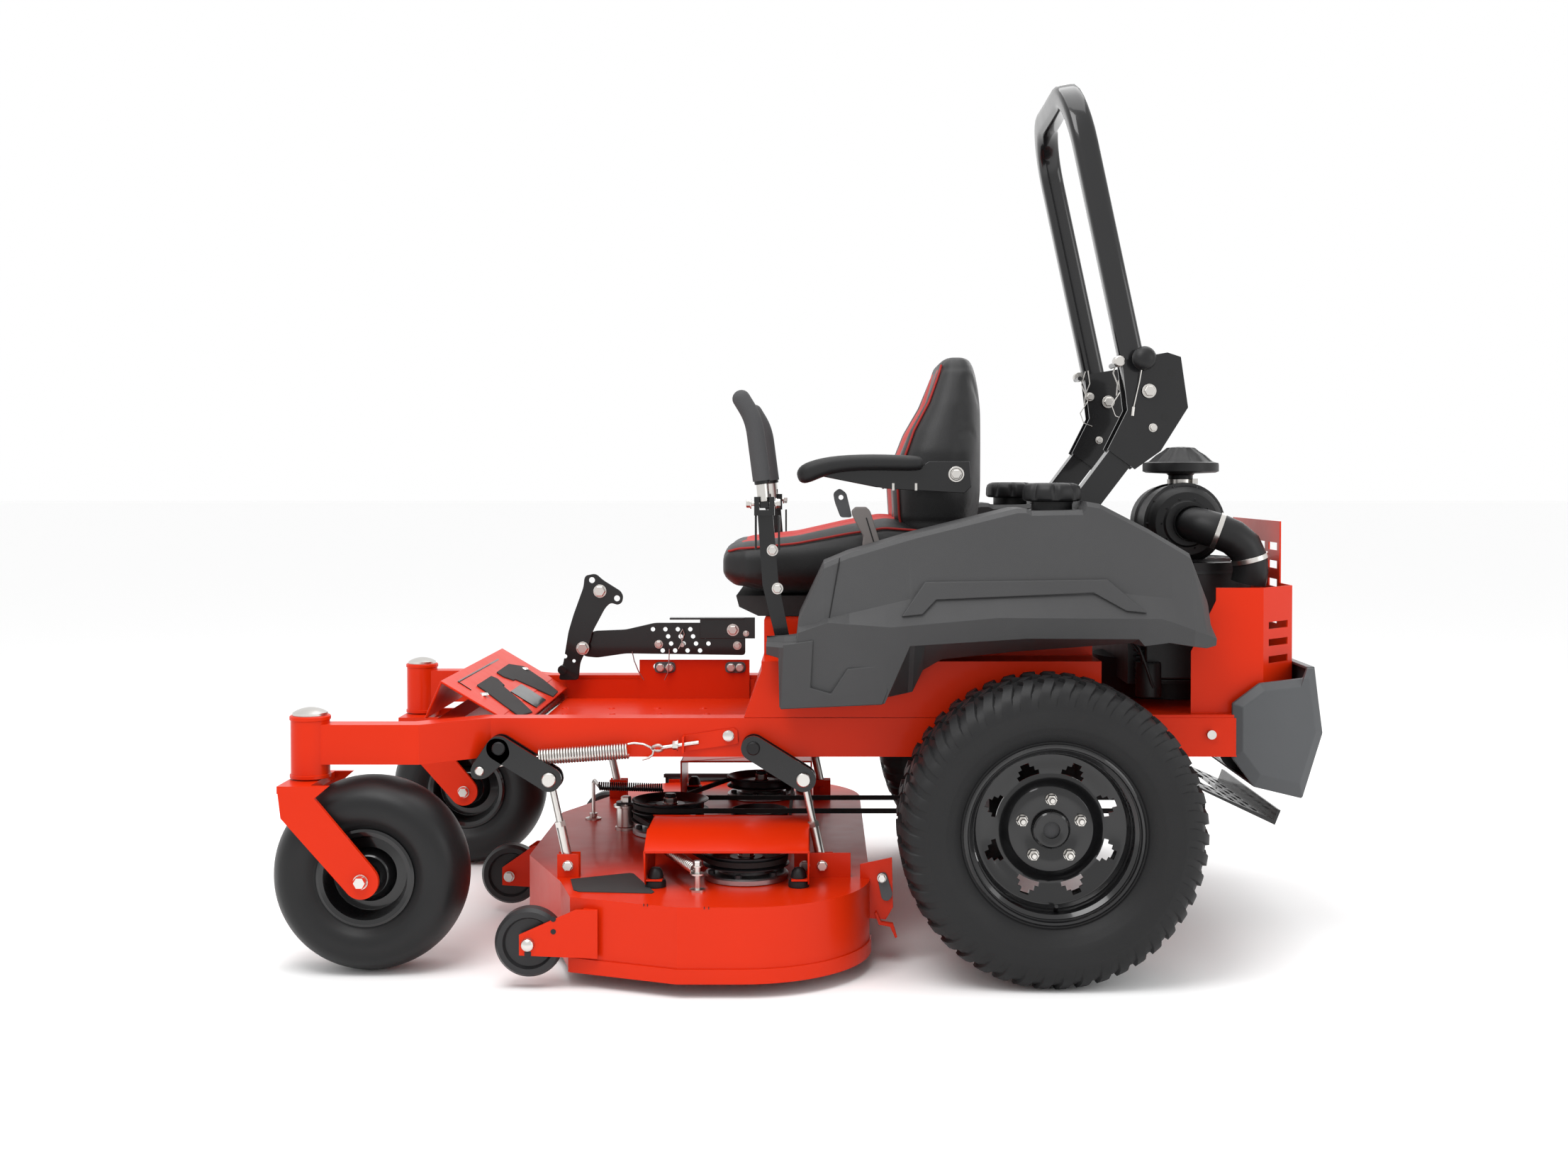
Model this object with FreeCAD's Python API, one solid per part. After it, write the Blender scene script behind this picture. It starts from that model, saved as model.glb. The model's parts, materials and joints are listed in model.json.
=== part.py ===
import FreeCAD, Part
import math
import os

# Zero turn mower with a 52 in side-discharge deck.
# Millimetres. x is forward from the rear axle, y is to the driver's left, z is up from the ground.
# Every piece is shifted by ORIGIN when it is written, so the row's origin is on the ground under
# the middle of the whole machine.

V = FreeCAD.Vector
ORIGIN = V(461.0, -98.0, 0.0)

# ---- driving dimensions
REAR_TYRE_R = 286.0
REAR_TYRE_HALF = 117.5
REAR_WHEEL_Y = 535.0
RIM_R = 157.0
LUG_CIRCLE_R = 57.15
CASTER_R = 186.6
CASTER_HALF = 75.0
CASTER_Y = 470.0
CASTER_SPINDLE_X = 1410.0
CASTER_AXLE_X = 1291.0
SPINDLE_R = 15.95
TUBE_LOW, TUBE_HIGH = 368.0, 488.0
RAIL_LOW, RAIL_HIGH = 396.0, 472.0
RAIL_Y = 375.0
RAIL_WIDTH = 50.0
REAR_END_X = -515.0
BEND_X = 1085.0
WALL = 4.0
LIFT_SHAFT_R = 12.5
LIFT_ARM = 115.0
LIFT_ANGLE = math.radians(32.0)
FRONT_LIFT = (1055.0, 418.0)
REAR_LIFT = (561.0, 418.0)
LINK_Y = 420.0
LINK_RUN = 36.0
LINK_DROP = 168.0
DECK_LOW, DECK_HIGH = 26.5, 166.0
SKIRT = 5.0
OUTER_SPINDLE = (575.0, 432.0)
CENTRE_SPINDLE = (760.0, 0.0)
BLADE_LENGTH = 457.0
PULLEY_R = 84.0
CLUTCH_X = -330.0
IDLER_X = 564.5
ROPS_PIVOT = (-232.0, 1118.0)
ROPS_Y = 250.0
ROPS_TUBE = 50.0
ROPS_LEAN = math.radians(12.2)
ROPS_HEIGHT = 1767.0
LEVER_Y = 345.0
ARMREST_PIVOT = (157.0, 950.0)
FUNCTION_GAP = 0.05


# ---- shapes
def box(x0, x1, y0, y1, z0, z1):
    return Part.makeBox(x1 - x0, y1 - y0, z1 - z0, V(x0, y0, z0))


def rod(start, end, radius):
    run = end - start
    return Part.makeCylinder(radius, run.Length, start, run)


def cross_rod(x, z, y0, y1, radius):
    return rod(V(x, y0, z), V(x, y1, z), radius)


def prism_xz(points, y0, y1):
    wire = Part.makePolygon([V(x, y0, z) for x, z in points + points[:1]])
    return Part.Face(wire).extrude(V(0, y1 - y0, 0))


def prism_xy(points, z0, z1):
    wire = Part.makePolygon([V(x, y, z0) for x, y in points + points[:1]])
    return Part.Face(wire).extrude(V(0, 0, z1 - z0))


def prism_yz(points, x0, x1):
    wire = Part.makePolygon([V(x0, y, z) for y, z in points + points[:1]])
    return Part.Face(wire).extrude(V(x1 - x0, 0, 0))


def bar(start, end, radius, y0, y1):
    """A flat bar with round ends, lying in a vertical fore-aft plane."""
    a = V(start[0], y0, start[1])
    b = V(end[0], y0, end[1])
    along = (b - a).normalize() * radius
    side = V(along.z, 0, -along.x)
    edges = [
        Part.LineSegment(a + side, b + side).toShape(),
        Part.Arc(b + side, b + along, b - side).toShape(),
        Part.LineSegment(b - side, a - side).toShape(),
        Part.Arc(a - side, a - along, a + side).toShape(),
    ]
    return Part.Face(Part.Wire(edges)).extrude(V(0, y1 - y0, 0))


def lathe(profile, centre, axis="z"):
    """A turned piece: profile points are (radius, distance along the axis)."""
    wire = Part.makePolygon([V(r, 0, a) for r, a in profile + profile[:1]])
    shape = Part.Face(wire).revolve(V(0, 0, 0), V(0, 0, 1), 360)
    if axis == "y":
        shape.rotate(V(0, 0, 0), V(1, 0, 0), -90)
    shape.translate(centre)
    return shape


def offset_line(points, distance):
    """The points moved sideways by a distance, with mitred corners."""
    moved = []
    for index, point in enumerate(points):
        before = points[max(index, 1)] - points[max(index, 1) - 1]
        after_index = min(index, len(points) - 2)
        after = points[after_index + 1] - points[after_index]
        left = V(-before.y, before.x, 0).normalize()
        right = V(-after.y, after.x, 0).normalize()
        moved.append(point + (left + right) * (distance / (1 + left.dot(right))))
    return moved


def strip(points, half, z0, z1):
    """A bar of one width along a bent line seen from above."""
    outline = offset_line(points, half) + offset_line(points, -half)[::-1]
    return prism_xy([(p.x, p.y) for p in outline], z0, z1)


def joined(pieces):
    return pieces[0].multiFuse(pieces[1:]).removeSplitter()


def mirrored(shape):
    return shape.mirror(V(0, 0, 0), V(0, 1, 0))


def both_sides(shape):
    return [shape, mirrored(shape)]


def save(name, *pieces):
    solids = [solid for piece in pieces for solid in piece.Solids]
    shape = solids[0] if len(solids) == 1 else Part.makeCompound(solids)
    shape = shape.copy()
    shape.translate(V(0, 0, 0) - ORIGIN)
    if not shape.isValid():
        print("invalid solid in", name)
    shape.exportStep("parts/" + name + ".step")


def save_pair(ending, *pieces):
    save("left_" + ending, *pieces)
    save("right_" + ending, *[mirrored(piece) for piece in pieces])


def swung(pivot, length, angle):
    """The far end of an arm that points rearward and down from its pivot."""
    return pivot[0] - length * math.cos(angle), pivot[1] - length * math.sin(angle)


# ---- frame
def rail():
    line = [V(REAR_END_X, RAIL_Y, 0), V(BEND_X, RAIL_Y, 0)]
    line += [V(BEND_X + 120, CASTER_Y, 0), V(1395, CASTER_Y, 0)]
    inside = [line[0] - V(20, 0, 0)] + line[1:3] + [line[3] - V(55, 0, 0)]
    half = RAIL_WIDTH / 2
    outer = strip(line, half, RAIL_LOW, RAIL_HIGH)
    return outer.cut(strip(inside, half - WALL, RAIL_LOW + WALL, RAIL_HIGH - WALL))


def cross_channel(x0, x1, reach, low, high):
    outer = box(x0, x1, -reach, reach, low, high)
    return outer.cut(box(x0 + WALL, x1 - WALL, -reach, reach, low - 1, high - WALL))


def make_frame():
    caster_tube = rod(V(CASTER_SPINDLE_X, CASTER_Y, TUBE_LOW), V(CASTER_SPINDLE_X, CASTER_Y, TUBE_HIGH), 36.5)
    engine_deck = box(-500, -130, -398, 398, RAIL_HIGH, RAIL_HIGH + 6)
    body = joined(
        both_sides(rail()) + both_sides(caster_tube)
        + [cross_channel(1150, 1200, 426, 404, 460), cross_channel(250, 300, 352, 400, 440)]
        + [cross_channel(REAR_END_X, REAR_END_X + 40, 352, RAIL_LOW, RAIL_HIGH), engine_deck]
    )
    for side in (1, -1):
        y = side * CASTER_Y
        body = body.cut(rod(V(CASTER_SPINDLE_X, y, 300), V(CASTER_SPINDLE_X, y, 520), 16.0))
    for x, z in (FRONT_LIFT, REAR_LIFT):
        body = body.cut(cross_rod(x, z, -520, 520, LIFT_SHAFT_R + FUNCTION_GAP))
    body = body.cut(rod(V(CLUTCH_X, 0, 440), V(CLUTCH_X, 0, 500), 40))
    save("frame", body)


def make_floor():
    x0, x1 = 588.0, 1036.0
    pan = box(x0, x1, -346, 346, 415, 418)
    pan = joined([pan, box(x0, x1, 343, 346, 415, 462), box(x0, x1, -346, -343, 415, 462)])
    buttons = []
    for row in range(4):
        for button in range(4):
            x = 655 + 105 * row + 14 * button
            y = 150 - 100 * button
            buttons.append(Part.makeCone(9, 6, 4, V(x, y, 417)))
    pan = joined([pan] + buttons)
    bracket = box(600, 862, -342, -337, 418, 510)
    for x in (640, 822):
        bracket = bracket.cut(cross_rod(x, 494, -350, -330, 7))
    save("floor_pan", pan, bracket)


def make_toe_guard():
    hood = [(1222, 462), (1189, 538), (1068, 466), (1068, 445), (1072, 445), (1072, 463.5), (1187, 532)]
    hood = prism_xz(hood + [(1217, 462)], -336, 336)
    pads = []
    for y in (-205, 205):
        pads.append(prism_xz([(1176, 531), (1174, 535), (1086, 482), (1088, 478)], y - 85, y + 85))
    save("toe_guard", hood.cut(joined(pads)), *pads)


def make_seat_box():
    outer = prism_xz([(581, 472.5), (546.5, 565), (546.5, 583), (-120, 583), (-120, 472.5)], -398, 398)
    upper = box(-120, 545, -280, 280, 583, 655)
    inner = prism_xz([(577, 470), (542, 565), (542, 580), (-117, 580), (-117, 470)], -395, 395)
    inner_top = box(-117, 542, -277, 277, 578, 652)
    body = joined([outer, upper]).cut(joined([inner, inner_top]))
    save("seat_box", body)


def make_hydro_drives():
    gearbox = joined([
        box(-75, 95, 215, 350, 225, 372),
        cross_rod(0, REAR_TYRE_R, 345, 400, 52),
        cross_rod(0, REAR_TYRE_R, 345, 566, 20),
        rod(V(55, 290, 365), V(55, 290, 384), 30),
    ])
    save("hydro_drives", *both_sides(gearbox))


def make_engine():
    block = joined([
        rod(V(CLUTCH_X, 0, 478.5), V(CLUTCH_X, 0, 560), 165),
        rod(V(CLUTCH_X, 0, 555), V(CLUTCH_X, 0, 640), 130),
        box(CLUTCH_X - 70, CLUTCH_X + 130, -235, 235, 520, 640),
    ])
    fan_housing = rod(V(CLUTCH_X, 0, 640), V(CLUTCH_X, 0, 765), 175)
    shroud = joined([fan_housing, box(-350, -160, -215, 215, 642, 740)])
    crank = rod(V(CLUTCH_X, 0, 236), V(CLUTCH_X, 0, 478.4), 14.0)
    save("engine", block, shroud, crank)


def make_air_cleaner():
    canister = [(0, -110), (76, -110), (82, -100), (82, 118), (60, 130), (0, 130)]
    canister = lathe(canister, V(-338, 30, 847), "y")
    neck = rod(V(-347, 40, 920), V(-347, 40, 950), 30)
    cap = lathe([(0, 0), (72, 0), (78, 8), (78, 30), (50, 58), (0, 62)], V(-347, 40, 948))
    outlet = rod(V(-338, 150, 847), V(-338, 205, 840), 38)
    elbow = joined([outlet, rod(V(-338, 195, 841), V(-440, 195, 795), 36)])
    drop = rod(V(-440, 195, 800), V(-440, 195, 768), 36)
    save("air_cleaner", joined([canister, neck, cap, elbow, drop]))


def make_muffler():
    save("muffler", cross_rod(-430, 382, -230, 230, 40))
    shield = [(-338, 313), (-342, 307), (-500, 232), (-512, 262), (-506, 264), (-498, 242)]
    shield = prism_xz(shield, -250, 250)
    shield = shield.cut(box(-425, -300, -105, 105, 200, 340))
    for row in range(5):
        for column in range(7):
            x = -372 - 24 * row
            y = -204 + 68 * column
            shield = shield.cut(box(x - 6, x + 6, y - 22, y + 22, 200, 340))
    save("muffler_shield", shield)


def make_bumper():
    outline = [(-524, 572), (-540, 572), (-556, 442), (-516, 312), (-420, 335), (-375, 392), (-375, 500)]
    outline += [(-430, 540), (-516, 550)]
    cap = prism_xz(outline, 401, 407)
    band = [(-524, 572), (-540, 572), (-556, 442), (-516, 312), (-420, 335), (-421, 340), (-513, 318)]
    band += [(-550, 442), (-535, 566), (-524, 566)]
    save("rear_bumper", joined([cap, mirrored(cap), prism_xz(band, -402, 402)]))


def make_engine_guard():
    low = RAIL_HIGH + 6.2
    line = [V(-300, 374, 0), V(-442, 374, 0), V(-520, 292, 0), V(-520, 0, 0)]
    half_guard = strip(line, 1.5, low, 726)
    tall = box(-521.5, -518.5, -205, 205, 700, 853)
    guard = joined([half_guard, mirrored(half_guard), tall])
    for row in range(3):
        z = 575 + 34 * row
        for side in (1, -1):
            slot = strip([V(-456, side * 359.3, 0), V(-508, side * 304.6, 0)], 8, z, z + 14)
            guard = guard.cut(slot)
    for row in range(5):
        for y in (-150, -50, 50, 150):
            guard = guard.cut(box(-530, -510, y - 34, y + 34, 640 + 38 * row, 656 + 38 * row))
    corner = prism_xz([(-280, 560), (-349, 700), (-349, 740), (-280, 740)], -380, 380)
    save("engine_guard", guard.cut(corner))


def make_tanks():
    crest = [(-299, 720), (-269, 779), (-151, 868), (-84, 897), (56, 883), (204, 838), (384, 791), (440, 720)]
    base = [(544, 616), (510, 513), (485, 509), (307, 518), (256, 528), (196, 590), (56, 605), (-299, 631)]
    outer = prism_xz(crest + [(473, 646), (522, 631)] + base + [(-324, 654)], 412, 520)
    inner = prism_xz(crest + [(470, 646), (470, 590), (-299, 631), (-324, 654)], 285, 412)
    tank = joined([outer, inner])
    well = rod(V(-24, 378, 879), V(-24, 378, 960), 66)
    bore = rod(V(-24, 378, 850), V(-24, 378, 960), 40)
    tank = tank.cut(well).cut(bore)
    save_pair("fuel_tank", tank)
    cap = lathe([(0, 860), (38, 860), (38, 898), (56, 898), (56, 922), (46, 933), (0, 933)], V(-24, 378, 0))
    for lobe in range(8):
        angle = math.radians(45 * lobe + 22.5)
        spot = V(-24 + 60 * math.cos(angle), 378 + 60 * math.sin(angle), 906)
        cap = cap.cut(rod(spot, spot + V(0, 0, 40), 12))
    save_pair("fuel_cap", cap)


# ---- roll bar
def rops_line(z):
    """Fore-aft place of the hoop's leg centre line at a height."""
    return ROPS_PIVOT[0] + 16 + (z - ROPS_PIVOT[1]) * math.tan(ROPS_LEAN)


def make_rops():
    half = ROPS_TUBE / 2
    low, high = ROPS_PIVOT[1] - 30, ROPS_HEIGHT
    tall = (high - low) / math.cos(ROPS_LEAN)
    bend = 150.0
    hoop = box(-half, half, -ROPS_Y - half, ROPS_Y + half, 0, tall)
    hoop = hoop.makeFillet(bend, [edge for edge in hoop.Edges if is_top_side(edge, tall, ROPS_Y + half)])
    gap = box(-half - 1, half + 1, -ROPS_Y + half, ROPS_Y - half, -1, tall - ROPS_TUBE)
    inner_edges = [e for e in gap.Edges if is_top_side(e, tall - ROPS_TUBE, ROPS_Y - half)]
    gap = gap.makeFillet(bend - ROPS_TUBE, inner_edges)
    hoop = hoop.cut(gap)
    hoop.rotate(V(0, 0, 0), V(0, 1, 0), math.degrees(ROPS_LEAN))
    hoop.translate(V(rops_line(low), 0, low))
    pivot_bore = cross_rod(ROPS_PIVOT[0], ROPS_PIVOT[1], -400, 400, 8 + FUNCTION_GAP)
    save("rops_hoop", hoop.cut(pivot_bore))

    plate = [(-178, 1180), (-270, 1196), (-297, 1187), (-312, 1085), (-257, 997), (-205, 960), (-150, 1000)]
    plate += [(-190, 1080)]
    lower = [(-262, 1052), (-232, 1075), (-205, 1066), (102, 656), (40, 656)]
    sides = []
    for side in (1, -1):
        y = side * ROPS_Y
        tube = prism_xz(lower, y - half, y + half)
        plates = [prism_xz(plate, y + half + 0.5, y + half + 6.5)]
        plates.append(prism_xz(plate, y - half - 6.5, y - half - 0.5))
        bolt = cross_rod(ROPS_PIVOT[0], ROPS_PIVOT[1], y - half - 12, y + half + 12, 8)
        stop = cross_rod(-167, 1172, y - half - 10, y + half + 10, 5)
        clip = prism_xz([(-257, 999), (-262, 1050), (-205, 1050), (-165, 999)], y - half - 2, y + half + 2)
        sides += [tube, bolt, stop, clip] + plates
    cross = box(-30, 2, -ROPS_Y, ROPS_Y, 730, 775)
    save("rops_lower", joined(sides + [cross]))


def is_top_side(edge, height, reach):
    middle = edge.BoundBox.Center
    return abs(middle.z - height) < 0.1 and abs(abs(middle.y) - reach) < 0.1 and edge.BoundBox.YLength < 1


# ---- seat and controls
def make_seat():
    skirt = prism_xz([(560, 656), (600, 675), (606, 698), (150, 698), (150, 656)], -190, 190)
    save("seat_base", skirt)
    cushion = [(150, 699), (600, 699), (640, 730), (640, 800), (600, 824), (480, 826), (300, 872), (150, 850)]
    save("seat_cushion", prism_xz(cushion, -245, 245).cut(prism_xz(seat_back_outline(6), -300, 300)))
    save("seat_back", prism_xz(seat_back_outline(0), -235, 235))


def seat_back_outline(grow):
    outline = [(92 - grow, 760), (250, 760), (300 + grow, 860), (297 + grow, 960), (262 + grow, 1040)]
    return outline + [(217 + grow, 1100), (183, 1190), (160, 1203), (112, 1200), (92 - grow, 1150)]


def make_armrests():
    arm = [(130, 975), (125, 925), (140, 913), (300, 921), (440, 953), (225, 962), (205, 975)]
    arm = prism_xz(arm, 284, 290)
    x, z = ARMREST_PIVOT
    arm = joined([arm, cross_rod(x, z, 252, 298, 9)])
    pad = [(225, 963), (440, 954), (468, 950), (470, 964), (440, 980), (360, 985), (228, 980)]
    pad = prism_xz(pad, 259, 313)
    save_pair("armrest", arm, pad)


def make_levers():
    lever = [(485, 590), (512, 590), (546, 730), (556, 880), (526, 880), (514, 735)]
    lever = prism_xz(lever, LEVER_Y - 5, LEVER_Y + 5)
    block = box(522, 562, LEVER_Y - 14, LEVER_Y + 14, 868, 905)
    bore = rod(V(500, LEVER_Y, 892), V(590, LEVER_Y, 892), 5.05)
    lever = joined([lever, block]).cut(box(532, 552, LEVER_Y - 20, LEVER_Y + 20, 879, 906)).cut(bore)
    foot = joined([cross_rod(498, 605, 300, LEVER_Y + 12, 12), box(474, 522, 300, 320, 585.5, 625)])
    save_pair("control_lever", joined([lever, foot.common(box(400, 600, 336, 400, 500, 700))]))
    stem_low, stem_mid, stem_top = V(542, LEVER_Y, 899), V(563, LEVER_Y, 1059), V(588, LEVER_Y, 1100)
    stem = joined([
        box(532.5, 551.5, LEVER_Y - 7, LEVER_Y + 7, 882.5, 916),
        rod(V(543, LEVER_Y, 914), stem_low + (stem_mid - stem_low) * 0.3, 12.7),
    ])
    stem = stem.cut(rod(V(500, LEVER_Y, 892), V(590, LEVER_Y, 892), 5.05))
    pin = rod(V(518, LEVER_Y, 892), V(566, LEVER_Y, 892), 5)
    grip = joined([
        rod(stem_low + (stem_mid - stem_low) * 0.22, stem_mid, 18),
        Part.makeSphere(18, stem_mid),
        rod(stem_mid, stem_top, 18),
        Part.makeSphere(18, stem_top),
    ])
    save_pair("lap_bar", joined([stem, grip, pin]))


def make_brake():
    lever = [(300, 720), (322, 728), (368, 872), (352, 884), (330, 878), (282, 735)]
    lever = prism_xz(lever, 259, 276)
    save("parking_brake", lever)


# ---- wheels
def make_rear_wheels():
    centre = V(0, REAR_WHEEL_Y, REAR_TYRE_R)
    outer = [(158, -84), (172, -84), (188, -104), (215, -REAR_TYRE_HALF), (255, -114), (276, -98), (286, -60)]
    inner = [(276, -60), (262, -88), (215, -105), (190, -92), (176, -74), (158, -74)]
    mirror_outer = [(r, -a) for r, a in reversed(outer)]
    mirror_inner = [(r, -a) for r, a in reversed(inner)]
    save_pair("rear_tyre", lathe(outer + mirror_outer + mirror_inner + inner, centre, "y"))
    rim = lathe([(168, -84.5), (168, -89), (163, -89), (150, -80), (146, -30), (146, 30), (150, 80), (163, 89),
                 (168, 89), (168, 84.5), (157.4, 84.5), (157.4, 72), (150, 40), (150, -40), (157.4, -72),
                 (157.4, -84.5)], centre, "y")
    disc = lathe([(20.05, 22), (80, 22), (96, 8), (118, 18), (147, 26), (147, 32), (117, 24), (96, 14),
                  (78, 29), (20.05, 29)], centre, "y")
    for window in range(8):
        angle = math.radians(45 * window)
        points = []
        for radius, turn in ((104, -9), (104, 9), (131, 0)):
            spot = angle + math.radians(turn)
            points.append((centre.x + radius * math.cos(spot), centre.z + radius * math.sin(spot)))
        disc = disc.cut(prism_xz(points, REAR_WHEEL_Y - 10, REAR_WHEEL_Y + 60))
    nuts = []
    for lug in range(5):
        angle = math.radians(72 * lug + 18)
        x = centre.x + LUG_CIRCLE_R * math.cos(angle)
        z = centre.z + LUG_CIRCLE_R * math.sin(angle)
        nuts.append(cross_rod(x, z, REAR_WHEEL_Y + 29, REAR_WHEEL_Y + 44, 9))
    save_pair("rear_rim", joined([rim, disc]), *nuts)


def make_casters():
    centre = V(CASTER_AXLE_X, CASTER_Y, CASTER_R)
    half = CASTER_HALF
    outer = [(82, -55), (93, -55), (102, -64), (120, -half), (150, -72), (174, -52), (183, -30)]
    ring = [(CASTER_R, -12), (CASTER_R, 12)]
    inner = [(176, -20), (166, -45), (146, -63), (120, -66), (100, -50), (82, -47)]
    section = outer + ring + [(r, -a) for r, a in reversed(outer)]
    section += [(r, -a) for r, a in reversed(inner)] + inner
    save_pair("caster_tyre", lathe(section, centre, "y"))
    rim = lathe([(12.05, -70), (22, -70), (24, -20), (70, -14), (78, -40), (80, -58), (92, -58), (92, -55.3),
                 (81.7, -55.3), (81.7, 55.3), (92, 55.3), (92, 58), (80, 58), (78, 40), (70, 14), (24, 20),
                 (22, 70), (12.05, 70)], centre, "y")
    save_pair("caster_rim", rim)

    x, y, z = CASTER_AXLE_X, CASTER_Y, CASTER_R
    legs = []
    for side in (1, -1):
        near, far = sorted((y + side * 82, y + side * 92))
        leg = joined([
            prism_xz([(1447, 366), (1440, 306), (1313, 162), (1267, 210), (1377, 343), (1350, 366)], near, far),
            cross_rod(x, z, near, far, 33),
        ])
        legs.append(leg)
    crown = box(1386, 1447, y - 92, y + 92, 352, 366)
    shaft = rod(V(CASTER_SPINDLE_X, y, 360), V(CASTER_SPINDLE_X, y, 484), SPINDLE_R)
    axle = cross_rod(x, z, y - 104, y + 104, 12.0)
    save_pair("caster_fork", joined(legs + [crown, shaft, axle]))


# ---- lift gear
def make_lift_gear():
    for name, pivot in (("front_lift_arms", FRONT_LIFT), ("rear_lift_arms", REAR_LIFT)):
        tip = swung(pivot, LIFT_ARM, LIFT_ANGLE)
        pieces = []
        for side in (1, -1):
            for low, high in ((403, 410), (430, 437)):
                y0, y1 = sorted((side * low, side * high))
                pieces.append(bar(pivot, tip, 24, y0, y1))
            y0, y1 = sorted((side * 404, side * 436))
            pieces.append(cross_rod(pivot[0], pivot[1], y0, y1, 17))
            y0, y1 = sorted((side * 401.5, side * 440))
            pieces.append(cross_rod(tip[0], tip[1], y0, y1, 8))
        pieces.append(cross_rod(pivot[0], pivot[1], -440, 440, LIFT_SHAFT_R))
        save(name, joined(pieces))
    for name, pivot in (("front_lift_links", FRONT_LIFT), ("rear_lift_links", REAR_LIFT)):
        tip = swung(pivot, LIFT_ARM, LIFT_ANGLE)
        foot = (tip[0] - LINK_RUN, tip[1] - LINK_DROP)
        link = joined([
            cross_rod(tip[0], tip[1], LINK_Y - 8, LINK_Y + 8, 15),
            rod(V(tip[0], LINK_Y, tip[1]), V(foot[0], LINK_Y, foot[1]), 7),
            cross_rod(foot[0], foot[1], LINK_Y - 6, LINK_Y + 6, 17),
        ])
        link = link.cut(cross_rod(tip[0], tip[1], LINK_Y - 20, LINK_Y + 20, 8 + FUNCTION_GAP))
        link = link.cut(cross_rod(foot[0], foot[1], LINK_Y - 20, LINK_Y + 20, 11.5))
        save(name, *both_sides(link))


def make_lift_pedal():
    arm = joined([
        bar((1040, 490), (962, 692), 17, -306, -300),
        bar((962, 692), (925, 672), 13, -306, -300),
        cross_rod(949, 680, -330, -285, 8),
        cross_rod(1040, 490, -312, -296, 12),
    ])
    save("lift_pedal", arm)
    plate = [(930, 572), (850, 590), (800, 611), (592, 611), (592, 523), (800, 523), (880, 540), (930, 545)]
    plate = prism_xz(plate, -322, -317)
    for row in range(3):
        for hole in range(5):
            plate = plate.cut(cross_rod(650 + 24 * hole + 8 * row, 590 - 20 * row, -330, -310, 5))
    stand = joined([box(600, 640, -336.5, -317, 500, 530), box(780, 820, -336.5, -317, 500, 530)])
    save("height_quadrant", joined([plate, stand]))


def make_springs():
    springs = []
    for side in (1, -1):
        start = V(945, side * 421, 396)
        springs.append(rod(start, V(800, side * 421, 401), 16.5))
    save("assist_springs", *springs)


# ---- deck
def deck_outline(inset):
    """Half of the deck's outline from the rear middle to the front middle, then its mirror."""
    x, y = OUTER_SPINDLE
    radius = 240 - inset
    diagonal = radius * math.sqrt(0.5)
    start = V(x - radius, y, 0)
    middle = V(x - diagonal, y + diagonal, 0)
    end = V(x, y + radius, 0)
    inside = inset * 1.05
    front = [end, V(690 - inset * 0.2, y + radius, 0), V(895 - inside, 592 - inset * 0.9, 0)]
    front += [V(930 - inside, 470, 0), V(1030 - inside, 230, 0)]
    edges = [Part.Arc(start, middle, end).toShape()]
    edges += [Part.LineSegment(a, b).toShape() for a, b in zip(front, front[1:])]
    other = [mirrored(edge) for edge in edges]
    closing = [
        Part.LineSegment(front[-1], V(front[-1].x, -230, 0)).toShape(),
        Part.LineSegment(V(start.x, -y, 0), start).toShape(),
    ]
    ordered = Part.__sortEdges__(edges + other + closing)
    return Part.Face(Part.Wire(ordered))


def spindle_places():
    return (OUTER_SPINDLE, CENTRE_SPINDLE, (OUTER_SPINDLE[0], -OUTER_SPINDLE[1]))


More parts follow.
